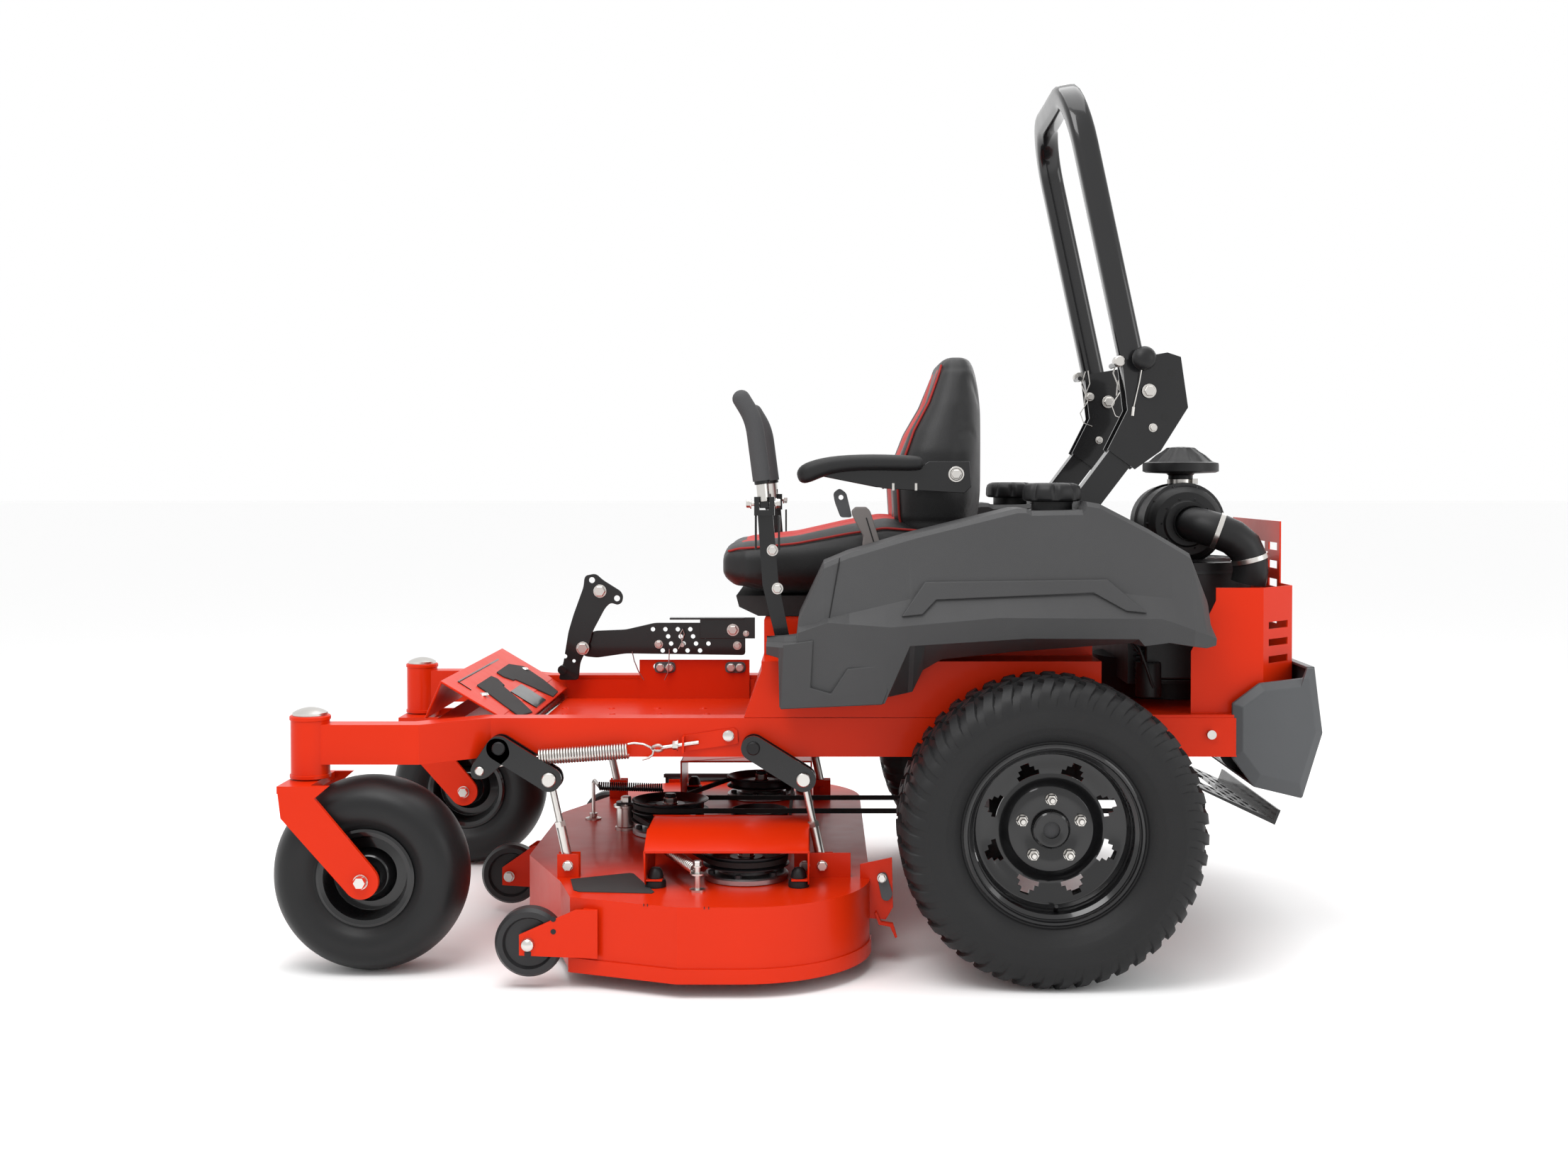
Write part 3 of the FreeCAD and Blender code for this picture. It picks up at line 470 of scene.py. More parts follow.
def make_caster_tyre(side, name):
    centre = middle(name + "_caster_tyre")
    half = [(82, 55), (93, 55), (100, 59), (107, 66), (118, 72), (132, 74.6), (146, 73.5), (160, 67),
            (171, 55), (178.5, 40), (183.5, 24), (186, 10), (186.6, 0)]
    section = half + [(r, -a) for r, a in half[-2::-1]]
    section += [(82, -47), (100, -50), (120, -66), (146, -63), (166, -45), (176, 0), (166, 45), (146, 63),
                (120, 66), (100, 50), (82, 47)]
    build(name + "_caster_tyre_skin", name + "_caster_wheel", LOOKS["caster_rubber"],
          [lathe(section, centre, "y", 96, closed=True)], angle=60, replaces=(name + "_caster_tyre",))


# ---- rims
def make_rear_rim(side, name):
    """A dished steel disc with windows, in a stepped rim."""
    centre = Vector((0, side * WHEEL_Y, TYRE_R))
    barrel = [(168, 84.6), (168, 88), (165, 89.6), (161, 88), (158, 82), (157, 76), (150, 70), (147, 60),
              (146.5, 36),
              (141, 30), (140, -40), (146, -60), (158, -84), (165, -89), (168, -88), (168, -84.6),
              (163, -80), (157.3, -72), (157.3, -64), (149, -50), (149, 50), (157.3, 64), (157.3, 82)]
    forms = [lathe([(r, a * side) for r, a in barrel], centre, "y", 96, closed=True)]
    windows = 8
    per = 12
    steps = windows * per
    radii = (20.3, 44, 50, 76, 80, 90, 98, 104, 113, 122, 131, 138, 142)
    front = (28, 28, 30.5, 30.5, 29, 20, 15, 14, 17, 21, 25.5, 28, 28)
    points, faces = [], []
    for drop in (0.0, 5.0):
        for step in range(steps):
            turn = 2 * math.pi * step / steps
            for radius, level in zip(radii, front):
                points.append(centre + Vector((radius * math.cos(turn), side * (level - drop),
                        radius * math.sin(turn))))
    rows = len(radii)

    def open_here(step, row):
        along = (step % per) + 0.5
        span = {7: 5.0, 8: 3.6, 9: 2.2, 10: 0.0}.get(row, 0.0)
        return span and abs(along - per / 2) < span / 2 + 0.01

    for step in range(steps):
        other = (step + 1) % steps
        for row in range(rows - 1):
            if open_here(step, row):
                continue
            a, b, c, d = step * rows + row, step * rows + row + 1, other * rows + row + 1, other * rows + row
            shift = steps * rows
            faces.append((a, b, c, d))
            faces.append((a + shift, d + shift, c + shift, b + shift))
            for edge, blocked in (((a, d), row == 0 or open_here(step, row - 1)),
                                  ((c, b), row == rows - 2 or open_here(step, row + 1)),
                                  ((b, a), open_here(step - 1, row)), ((d, c), open_here(step + 1, row))):
                if blocked:
                    faces.append((edge[0], edge[1], edge[1] + shift, edge[0] + shift))
    forms.append((points, faces))
    hub = [(0, 20.0), (15, 20.0), (16, 33), (22, 35), (31, 35), (34, 33), (36, 28), (36, 26)]
    forms.append(lathe([(r, side * (a + 4)) for r, a in hub[2:]], centre, "y", 48))
    forms.append(lathe([(r, side * (a + 4)) for r, a in hub[:3]], centre, "y", 48))
    valve_turn = math.radians(-92)
    foot = centre + Vector((146 * math.cos(valve_turn), side * 52, 146 * math.sin(valve_turn)))
    tip = centre + Vector((134 * math.cos(valve_turn), side * 72, 134 * math.sin(valve_turn)))
    forms.append(tube([foot, foot.lerp(tip, 0.6), tip], [5, 4, 3.6]))
    build(name + "_rear_rim_disc", name + "_rear_wheel", LOOKS["rim"], forms, angle=30,
          replaces=(name + "_rear_rim",))
    nuts = []
    for lug_index in range(5):
        turn = math.radians(72 * lug_index + 18)
        spot = centre + Vector((57.15 * math.cos(turn), side * 30.5, 57.15 * math.sin(turn)))
        nuts += hex_bolt(spot, outward(side), 19, 12, 0.8)
        nuts.append(lathe([(0, 0), (6, 0), (6, 20), (4.5, 22), (0, 22)], spot, "y", 16) if side > 0 else
                    lathe([(0, 0), (6, 0), (6, -20), (4.5, -22), (0, -22)], spot, "y", 16))
    build(name + "_lug_nuts", name + "_rear_wheel", LOOKS["zinc"], nuts)



def ramp(points, value):
    """Straight-line reading between (place, value) pairs."""
    if value <= points[0][0]:
        return points[0][1]
    for (a, low), (b, high) in zip(points, points[1:]):
        if value <= b:
            return low + (high - low) * (value - a) / (b - a)
    return points[-1][1]


def oval(half_a, half_b, power=2.6, steps=32):
    """A rounded cross-section."""
    result = []
    for step in range(steps):
        turn = 2 * math.pi * (step + 0.5) / steps
        c, s = math.cos(turn), math.sin(turn)
        result.append((half_a * math.copysign(abs(c) ** (2 / power), c),
                       half_b * math.copysign(abs(s) ** (2 / power), s)))
    return result


# ---- fender tanks
CREST = [(-326, 652), (-318, 706), (-279, 797), (-197, 845), (-104, 893), (-80, 897), (-72, 881), (26, 879),
         (36, 884),
         (54, 884), (251, 835), (376, 798), (424, 778), (473, 674), (477, 640), (500, 637), (535, 635)]
UPPER_CREASE = [(-326, 645), (-300, 697), (-279, 708), (-146, 723), (261, 712), (417, 675), (473, 660),
                (477, 630), (535, 627)]
LOWER_CREASE = [(-326, 636), (-240, 668), (-214, 676), (95, 678), (297, 660), (417, 669), (473, 650),
                (477, 622), (535, 620)]
OUTER_EDGE = [(-326, 622), (-306, 618), (-231, 630), (-183, 624), (-172, 637), (39, 638), (261, 624),
              (309, 515), (509, 506), (511, 600), (535, 604)]
INNER_EDGE = [(-326, 626), (-299, 631), (56, 605), (196, 590), (232, 569), (252, 527), (307, 515),
              (509, 506), (511, 600), (535, 604)]
FENDER_OUT = 520.0


def fender_side(x, z):
    """How far out the tank's side stands at a place on it."""
    top, upper, lower = ramp(CREST, x), ramp(UPPER_CREASE, x), ramp(LOWER_CREASE, x)
    return ramp([(lower, FENDER_OUT), (upper, 497), (max(top, upper + 5), 474)], z)


def make_fender(side, name):
    rings = []
    stations = sorted({x for x, _ in CREST + UPPER_CREASE + LOWER_CREASE + OUTER_EDGE + INNER_EDGE})
    for x in stations:
        top = ramp(CREST, x)
        upper = min(ramp(UPPER_CREASE, x), top - 6)
        lower = min(ramp(LOWER_CREASE, x), upper - 4)
        edge = min(ramp(OUTER_EDGE, x), lower - 4)
        under = min(ramp(INNER_EDGE, x), edge + 0 if x > 300 else top - 20)
        inner = 285 if x < 474 else 412
        floor = ramp([(-299, 629), (470, 590)], x) if x < 474 else under
        squeeze = ramp([(-326, 34), (-279, 8), (-200, 0), (495, 0), (535, 46)], x)
        out = [(inner, floor), (inner, top - 9), (inner + 9, top), (462 - squeeze, top),
               (474 - squeeze, top - 9),
               (497 - squeeze, upper), (FENDER_OUT - squeeze, lower), (514 - squeeze, edge),
               (506 - squeeze, edge - 1), (428, min(under, edge - 1 if x > 300 else under))]
        rings.append([(x, y, z) for y, z in out])
    band = [(232, 745), (-115, 750), (-187, 687), (-147, 691), (-88, 724), (211, 711), (238, 684),
            (278, 680)]
    skirt = [(501, 628), (444, 636), (449, 546), (411, 535), (380, 582), (316, 588), (302, 540), (313, 513),
             (507, 505)]
    forms = [loft(rings)]
    for outline, proud, foot in ((band, 6.0, -6.0), (skirt, 6.0, -4.0)):
        low, high = [], []
        for x, z in outline:
            level = fender_side(x, z) if outline is band else ramp([(300, 514), (312, 515), (400, 516)], x)
            low.append((x, level + foot, z))
            high.append((x, level + proud * (1 if x > 330 or outline is band else 0.2), z))
        forms.append(loft([low, high]))
    if side < 0:
        forms = [flipped(form) for form in forms]
    build(name + "_fender_shell", "frame", LOOKS["charcoal"], forms[:1], bevel=4.5, angle=14, segments=3,
          replaces=(name + "_fuel_tank",))
    build(name + "_fender_ribs", "frame", LOOKS["charcoal"], forms[1:], bevel=3.0, angle=20, segments=3)
    # Dark line down the tank's side: painted shade standing for the seam's groove.
    line = []
    for step in range(9):
        t = step / 8
        x, z = 396 + 20 * t - 2, 789 - 112 * t
        line.append((x, side * (fender_side(x, z) + 0.3), z))
    build(name + "_fender_seam_painted_shade", "frame", LOOKS["black_plastic"], [tube(line, 1.1, 6)])


def make_fuel_cap(side, name):
    centre = middle(name + "_fuel_cap")
    rings = []
    levels = [(861, 40, 0), (896, 40, 0), (897, 52, 0), (899, 56, 0.2), (903, 58, 0.6), (918, 57.5, 1),
              (926, 55, 1), (930, 50, 0.9), (932.5, 42, 0.5), (933, 20, 0)]
    steps = 112
    for level, radius, depth in levels:
        ring = []
        for step in range(steps):
            turn = 2 * math.pi * step / steps
            notch = max(0.0, math.cos(8 * turn)) ** 3
            size = radius - 7 * depth * notch
            ring.append((centre[0] + size * math.cos(turn), centre[1] + size * math.sin(turn), level))
        rings.append(ring)
    build(name + "_fuel_cap_top", name + "_fuel_cap", LOOKS["black_plastic"], [loft(rings)], angle=40,
          replaces=(name + "_fuel_cap",))


# ---- seat
def sewn(name, rings, red_faces, red_rings, seams, cap, replaced):
    """A padded cover with red panels sewn in. The seams stay put while the padding swells between them."""
    points, faces = loft(rings)
    count = len(rings[0])
    mesh = bpy.data.meshes.new(name)
    mesh.from_pydata([at(p.x, p.y, p.z) for p in points], [], faces)
    piece = bpy.data.objects.new(name, mesh)
    bpy.context.scene.collection.objects.link(piece)
    mesh.materials.append(LOOKS["vinyl"])
    mesh.materials.append(LOOKS["red_vinyl"])
    for polygon in mesh.polygons:
        polygon.use_smooth = True
        ring, step = divmod(polygon.index, count)
        if step in red_faces and ring in red_rings:
            polygon.material_index = 1
    grid = bmesh.new()
    grid.from_mesh(mesh)
    bmesh.ops.recalc_face_normals(grid, faces=grid.faces)
    grid.to_mesh(mesh)
    grid.free()
    normals = [vertex.normal.copy() for vertex in mesh.vertices]
    pinned = piece.vertex_groups.new(name="seams")
    for vertex in mesh.vertices:
        ring, step = divmod(vertex.index, count)
        on_seam = step in seams or ring in (red_rings[0], red_rings[-1] + 1) or ring in (0, len(rings) - 1)
        if on_seam:
            vertex.co -= normals[vertex.index] * 0.0022
            pinned.add([vertex.index], 1.0, "REPLACE")
    swell(piece, cap)
    modifier = piece.modifiers.new("subdivision", "SUBSURF")
    modifier.levels = modifier.render_levels = 1
    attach(piece, "seat")
    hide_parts(replaced)
    return piece


def swell(piece, cap):
    """Blow the cover up a little with cloth, held at its seams, and keep the result."""
    start = [vertex.co.copy() for vertex in piece.data.vertices]
    cloth = piece.modifiers.new("cloth", "CLOTH")
    settings = cloth.settings
    settings.quality = 5
    settings.mass = 0.4
    settings.tension_stiffness = settings.compression_stiffness = 12
    settings.bending_stiffness = 0.8
    settings.use_pressure = True
    settings.uniform_pressure_force = 4.0
    settings.vertex_group_mass = "seams"
    settings.effector_weights.gravity = 0.0
    cloth.point_cache.frame_start, cloth.point_cache.frame_end = 1, 16
    scene = bpy.context.scene
    for step in range(1, 17):
        scene.frame_set(step)
    graph = bpy.context.evaluated_depsgraph_get()
    result = [vertex.co.copy() for vertex in piece.evaluated_get(graph).data.vertices]
    piece.modifiers.clear()
    for vertex, old, new in zip(piece.data.vertices, start, result):
        shift = new - old
        if shift.length > cap:
            shift = shift.normalized() * cap
        vertex.co = old + shift
    scene.frame_set(1)


CUSHION_TOP = [(150, 842), (230, 862), (300, 868), (380, 853), (480, 830), (560, 820), (600, 815),
               (626, 803), (640, 774)]
CUSHION_LOW = [(150, 705), (560, 703), (610, 714), (632, 732), (640, 748)]
BACK_FRONT = [(764, 254), (800, 273), (860, 292), (920, 296), (960, 290), (1040, 257), (1100, 220),
              (1150, 198), (1185, 184), (1202, 160)]
BACK_REAR = [(764, 102), (860, 95), (1100, 95), (1170, 98), (1195, 113), (1202, 130)]
BACK_HALF = [(764, 203), (800, 224), (900, 233), (1000, 229), (1100, 193), (1170, 158), (1195, 134),
             (1202, 110)]


def make_seat_cushion():
    rings, edge = [], {1: [], -1: []}
    count = 96
    for index in range(57):
        t = index / 56
        x = 158 + 480 * t
        ease = min(1.0, (1 - t) * 9) ** 0.5
        tail = min(1.0, t * 10 + 0.25) ** 0.6
        half = 242 * (0.80 + 0.20 * ease) * (0.93 + 0.07 * tail)
        top, low = ramp(CUSHION_TOP, x), ramp(CUSHION_LOW, x)
        ring = []
        for a, b in oval(half, (top - low) / 2, 3.4, count):
            dish = 0.0
            if b > 0:
                dish = -15 * max(0.0, 1 - (abs(a) / half / 0.62) ** 2) * min(1, t * 3) * min(1, (1 - t) * 6)
            ring.append((x, a, (top + low) / 2 + b + dish))
        rings.append(ring)
        if 3 < index < 55:
            edge[1].append(Vector(ring[7]) + Vector((0, 1.2, 0.8)))
            edge[-1].append(Vector(ring[40]) + Vector((0, -1.2, 0.8)))
    stripe = {15, 16, 17, 18, 19, 20, 21} | {25, 26, 27, 28, 29, 30, 31}
    sewn("seat_cushion_cover", rings, stripe, range(10, 51), {7, 15, 22, 25, 32, 40}, 0.007, "seat_cushion")
    build("seat_cushion_piping", "seat", LOOKS["thread"], [tube(edge[1], 2.4, 8), tube(edge[-1], 2.4, 8)],
          angle=60)


def make_seat_back():
    rings, edge = [], {1: [], -1: []}
    count = 96
    for index in range(61):
        t = index / 60
        z = 764 + 438 * t
        front, rear, half = ramp(BACK_FRONT, z), ramp(BACK_REAR, z), ramp(BACK_HALF, z)
        ring = []
        for a, b in oval((front - rear) / 2, half, 3.0, count):
            hollow = 0.0
            if a > 0:
                hollow = -26 * max(0.0, 1 - (abs(b) / (half * 0.72)) ** 2) * min(1, t * 4) * min(1,
                        (1 - t) * 4)
            ring.append(((front + rear) / 2 + a + hollow, b, z))
        rings.append(ring)
        if 3 < index < 58:
            edge[1].append(Vector(ring[13]) + Vector((1.0, 1.0, 0)))
            edge[-1].append(Vector(ring[82]) + Vector((1.0, -1.0, 0)))
    stripe = {3, 4, 5, 6, 7} | {87, 88, 89, 90, 91}
    sewn("seat_back_cover", rings, stripe, range(12, 56), {3, 8, 13, 82, 87, 92}, 0.007, "seat_back")
    build("seat_back_piping", "seat", LOOKS["thread"], [tube(edge[1], 2.6, 8), tube(edge[-1], 2.6, 8)],
          angle=60)


def make_armrest(side, name):
    rings = []
    line = [(224, 972, 18, 9), (228, 972, 24, 14), (246, 972, 27, 16), (300, 974, 27, 16.5),
            (350, 974, 27, 16.5),
            (395, 971, 27, 17), (425, 965, 27, 18.5), (448, 957, 27, 20), (464, 950, 25, 19.5),
            (473, 945, 18, 14), (477, 943, 8, 6)]
    for index, (x, z, half, tall) in enumerate(line):
        before, after = line[max(0, index - 1)], line[min(len(line) - 1, index + 1)]
        tilt = math.atan2(after[1] - before[1], after[0] - before[0]) * 0.7
        section = oval(half, tall, 2.8, 28)
        rings.append([(x - b * math.sin(tilt), side * 286 + a, z + b * math.cos(tilt)) for a, b in section])
    pad = build(name + "_armrest_pad", name + "_armrest", LOOKS["armrest"], [loft(rings)], angle=70,
                subdivide=1, replaces=(name + "_armrest",))
    y0, y1 = span(side, 284, 290)
    arm = prism([(130, 976), (212, 976), (226, 966), (440, 954), (436, 948), (300, 921), (140, 912),
                 (126, 925)], y0, y1)
    boss = lathe([(0, side * 236), (20, side * 236), (20, side * 280), (13, side * 284), (0, side * 284)],
                 (157, 0, 950))
    build(name + "_armrest_plate", name + "_armrest", LOOKS["black_steel"], [arm, boss], bevel=1.2)
    bolt = lathe([(16, side * 290), (16, side * 293), (12.5, side * 293.5), (12.5, side * 290)],
                 (157, 0, 950), closed=True)
    slots = [block(x - 2.5, x + 2.5, *span(side, 289.6, 291), 917, 932) for x in (238, 284)]
    build(name + "_armrest_bolt", name + "_armrest", LOOKS["zinc"],
          [bolt] + slots + hex_bolt((157, side * 290, 950), outward(side), 18, 7, 0.9), bevel=0.5)


# ---- driving levers
def make_lap_bar(side, name):
    y = side * 345
    low, mid, top = Vector((547, y, 937)), Vector((563, y, 1059)), Vector((588, y, 1100))
    path = [low]
    for step in range(9):
        t = step / 8
        start, end = mid + (low - mid).normalized() * 30, mid + (top - mid).normalized() * 26
        path.append(start * (1 - t) ** 2 + mid * 2 * t * (1 - t) + end * t ** 2)
    path.append(top)
    along = (top - mid).normalized()
    sizes = [18] * len(path)
    for step in range(1, 6):
        turn = math.pi / 2 * step / 5
        path.append(top + along * 17 * math.sin(turn))
        sizes.append(max(0.6, 18 * math.cos(turn)))
    grip = tube(path, sizes, 28)
    build(name + "_lap_bar_grip", name + "_lap_bar", LOOKS["grip"], [grip], angle=50,
          replaces=(name + "_lap_bar",))
    lean = (mid - low).normalized()
    ring = tube([low - lean * 7, low - lean * 6, low + lean * 1, low + lean * 2], [13, 15.5, 15.5, 13], 24)
    build(name + "_lap_bar_collar", name + "_lap_bar", LOOKS["black_plastic"], [ring])
    stem = tube([Vector((543, y, 896)), low - lean * 4], 12.2, 24)
    block_form = block(532.5, 551.5, y - 7, y + 7, 882.5, 917)
    build(name + "_lap_bar_stem", name + "_lap_bar", LOOKS["zinc"], [stem], bevel=0.6)
    build(name + "_lap_bar_block", name + "_lap_bar", LOOKS["black_steel"], [block_form], bevel=1.5)
    pin = tube([Vector((516, y, 892)), Vector((568, y, 892))], 4.9, 16)
    nuts = hex_bolt((568, y, 892), "+x", 15, 8) + hex_bolt((520, y, 892), "-x", 15, 8)
    build(name + "_lap_bar_pin", name + "_lap_bar", LOOKS["zinc"], [pin] + nuts)


def make_lever_details(side, name):
    face = side * 350
    way = outward(side)
    bolts = hex_bolt((526, face, 799), way, 16, 8) + hex_bolt((516, face, 723), way, 16, 8)
    build(name + "_lever_bolts", name + "_control_lever", LOOKS["zinc"], bolts, bevel=0.4)
    y0, y1 = span(side, 351, 355)
    build(name + "_lever_cheeks", name + "_control_lever", LOOKS["black_steel"],
          [block(511, 515, y0 - 14, y1 + 2, 800, 868), block(557, 561, y0 - 14, y1 + 2, 800, 868)],
          bevel=1.0)


def make_brake_lever():
    low, high = 257, 278
    outline = [(286, 735), (300, 722), (322, 730), (340, 775), (337, 790), (346, 806), (344, 824),
               (354, 842), (366, 866), (368, 876), (360, 884), (338, 884), (330, 876)]
    build("parking_brake_handle", "parking_brake", LOOKS["brake"], [prism(outline, low, high)], bevel=3.5,
          segments=3, angle=25, replaces=("parking_brake",))
    # Black lines on both faces of the handle: painted shade standing for its groove.
    build("parking_brake_groove_painted_shade", "parking_brake", LOOKS["black_plastic"],
          [tube([(300, 278.2, 738), (338, 278.2, 862)], 1.3, 6),
           tube([(300, 256.8, 738), (338, 256.8, 862)], 1.3, 6)])


def make_belt_buckle():
    outline = rounded([(366, 862), (378, 912), (392, 922), (405, 912), (402, 894), (390, 862)], 6)
    tongue = build("seat_belt_tongue", "seat", LOOKS["grey_steel"], [prism(outline, 249, 252)], bevel=0.8)
    drill(tongue, [hole(389, 903, 5, 240, 260)])


# ---- springs
def coil(start, end, radius, turns, steps=14):
    start, end = Vector(start), Vector(end)
    along = (end - start).normalized()
    side = along.orthogonal().normalized()
    across = along.cross(side)
    path = []
    total = int(turns * steps)
    for step in range(total + 1):
        turn = 2 * math.pi * step / steps
        path.append(start.lerp(end,
                               step / total) + (side * math.cos(turn) + across * math.sin(turn)) * radius)
    return path


def make_springs():
    coils, rods, brackets, lugs, pins, hooks, lug_pins = [], [], [], [], [], [], []
    for side in (1, -1):
        y = side * 421
        way = outward(side)
        front, rear = Vector((980, y, 399)), Vector((806, y, 411))
        coils.append(tube(coil(front, rear, 13.6, 32), 2.3, 8))
        reach = [front.lerp(Vector((1086, y, 376)), step / 12) for step in range(13)]
        hooks.append(tube(reach, 3.2, 8))
        hook = [rear + Vector(p) for p in ((0, 0, 13), (-12, 0, 15), (-30, 0, 13), (-44, 0, 7), (-50, 0, 0),
                (-48, 0, -8),
                                           (-40, 0, -14), (-28, 0, -17))]
        coils.append(tube(hook, 2.4, 8))
        eye = []
        for step in range(16):
            turn = 2 * math.pi * step / 16
            eye.append(Vector((748 + 10 * math.cos(turn), y + 4 * math.sin(turn),
                               416 + 6 * math.sin(turn))))
        rods.append(tube(eye, 3.4, 8, closed=True))
        rods.append(tube([(740, y, 417), (668, y, 427)], 4.4, 12))
        rods += hex_bolt((708, y, 421.6), "+x", 15, 9)
        brackets.append(block(696, 700, min(side * 400.5, y + side * 9), max(side * 400.5, y + side * 9),
                              408, 438))
        plate = [(700, 438), (600, 453), (593, 448), (592, 424), (598, 421), (700, 407)]
        brackets.append(prism(plate, *span(side, 400.5, 404.5)))
        rods += hex_bolt((611, side * 404.5, 438), way, 19, 6, 0.8)
        for y0, y1 in ((430, 437), (403, 410)):
            low, high = span(side, y0, y1)
            lugs.append(prism(rounded([(1040, 436), (1070, 440), (1110, 380), (1108, 358), (1080, 358),
                                       (1030, 404)], 14), low, high))
        pins.append(stud((1055, 0, 418), side, 13, 430, 443))
        pin = [(0, side * 402), (9, side * 402), (9, side * 441), (7, side * 443), (0, side * 443)]
        lug_pins.append(lathe(pin, (1092, 0, 374)))
        pins.append(stud((561, 0, 418), side, 13, 430, 443))
    build("assist_spring_coils", "frame", LOOKS["zinc"], coils, angle=60, replaces=("assist_springs",))
    build("assist_spring_rods", "frame", LOOKS["zinc"], rods, angle=40)
    build("assist_spring_brackets", "frame", LOOKS["red"], brackets, bevel=1.2)
    build("front_lift_lugs", "front_lift_arms", LOOKS["black_steel"], lugs, bevel=1.0)
    build("lift_pivot_caps", "frame", LOOKS["black_plastic"], pins, bevel=0.5)
    build("lift_lug_pins", "front_lift_arms", LOOKS["zinc"], lug_pins, bevel=0.5)
    rod = build("assist_spring_hooks", None, LOOKS["zinc"], hooks, angle=60)
    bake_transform(rod)


def make_lift_details():
    for name, pivot in (("front", (1055, 418)), ("rear", (561, 418))):
        tip = (pivot[0] - 115 * math.cos(math.radians(32)), pivot[1] - 115 * math.sin(math.radians(32)))
        foot = (tip[0] - 36, tip[1] - 168)
        caps, sleeves, bolts = [], [], []
        for side in (1, -1):
            way = outward(side)
            caps.append(stud((tip[0], 0, tip[1]), side, 14, 437, 445))
            top, low = Vector((tip[0], side * 420, tip[1])), Vector((foot[0], side * 420, foot[1]))
            sleeves.append(tube([low.lerp(top, 0.05), low.lerp(top, 0.44)], 9.5, 16))
            sleeves.append(tube([low.lerp(top, 0.44), low.lerp(top, 0.50)], 11.0, 6))
            bolts += hex_bolt((foot[0], side * 434, foot[1]), way, 18, 7, 0.8)
            if name == "rear":
                bolts += hex_bolt((foot[0] + 34, side * 434, foot[1]), way, 18, 7, 0.8)
        build(name + "_lift_pins", name + "_lift_arms", LOOKS["zinc"], caps, bevel=0.5)
        build(name + "_link_sleeves", name + "_lift_links", LOOKS["zinc"], sleeves, angle=50)
        build(name + "_link_bolts", "deck", LOOKS["zinc"], bolts, bevel=0.4)


# ---- foot controls
def drill(piece, cutters):
    """Cut round holes through a piece, for good."""
    mesh = bpy.data.meshes.new("cutter")
    grid = bmesh.new()
    for points, faces in cutters:
        made = [grid.verts.new(at(p.x, p.y, p.z)) for p in points]
        for face in faces:
            grid.faces.new([made[i] for i in face])
    bmesh.ops.recalc_face_normals(grid, faces=grid.faces)
    grid.to_mesh(mesh)
    grid.free()
    cutter = bpy.data.objects.new("cutter", mesh)
    bpy.context.scene.collection.objects.link(cutter)
    kept = [(m.width, m.segments) for m in piece.modifiers if m.type == "BEVEL"]
    piece.modifiers.clear()
    cut = piece.modifiers.new("holes", "BOOLEAN")
    cut.operation = "DIFFERENCE"
    cut.object = cutter
    cut.solver = "EXACT"
    graph = bpy.context.evaluated_depsgraph_get()
    made = bpy.data.meshes.new_from_object(piece.evaluated_get(graph))
    piece.modifiers.clear()
    piece.data = made
    bpy.data.objects.remove(cutter)
    made.set_sharp_from_angle(angle=math.radians(30))
    for width, segments in kept:
        edge = piece.modifiers.new("edges", "BEVEL")
        edge.width, edge.segments = width, segments
        edge.limit_method = "ANGLE"
        edge.angle_limit = math.radians(40)
        edge.harden_normals = True


def hole(x, z, radius, y0, y1):
    return tube([(x, y0, z), (x, y1, z)], radius, 20)


def make_pedal():
    outline = [(984, 713), (961, 718), (945, 703), (902, 676), (896, 664), (899, 649), (909, 643),
               (926, 649), (939, 636),
               (969, 580), (975, 555), (998, 507), (1002, 466), (1050, 466), (1038, 507), (1026, 580),
               (1014, 620), (990, 686), (988, 706)]
    arm = build("lift_pedal_arm", "lift_pedal", LOOKS["black_steel"],
                [prism(rounded(outline, 9, 4), -306, -300)], bevel=1.2, replaces=("lift_pedal",))
    drill(arm, [hole(970, 702, 7, -320, -290), hole(911, 659, 7, -320, -290),
                hole(1034, 522, 5, -320, -290), hole(1013, 511, 4, -320, -290)])
    bolts = hex_bolt((951, -300, 676), "+y", 24, 9, 0.9) + hex_bolt((992, -300, 541), "+y", 24, 9, 0.9)
    build("lift_pedal_bolts", "lift_pedal", LOOKS["zinc"], bolts, bevel=0.5)
    hub = [lathe([(0, -340), (11, -340), (11, -296), (0, -296)], (1040, 0, 490))]
    build("lift_pedal_hub", "lift_pedal", LOOKS["black_steel"], hub, bevel=0.8)


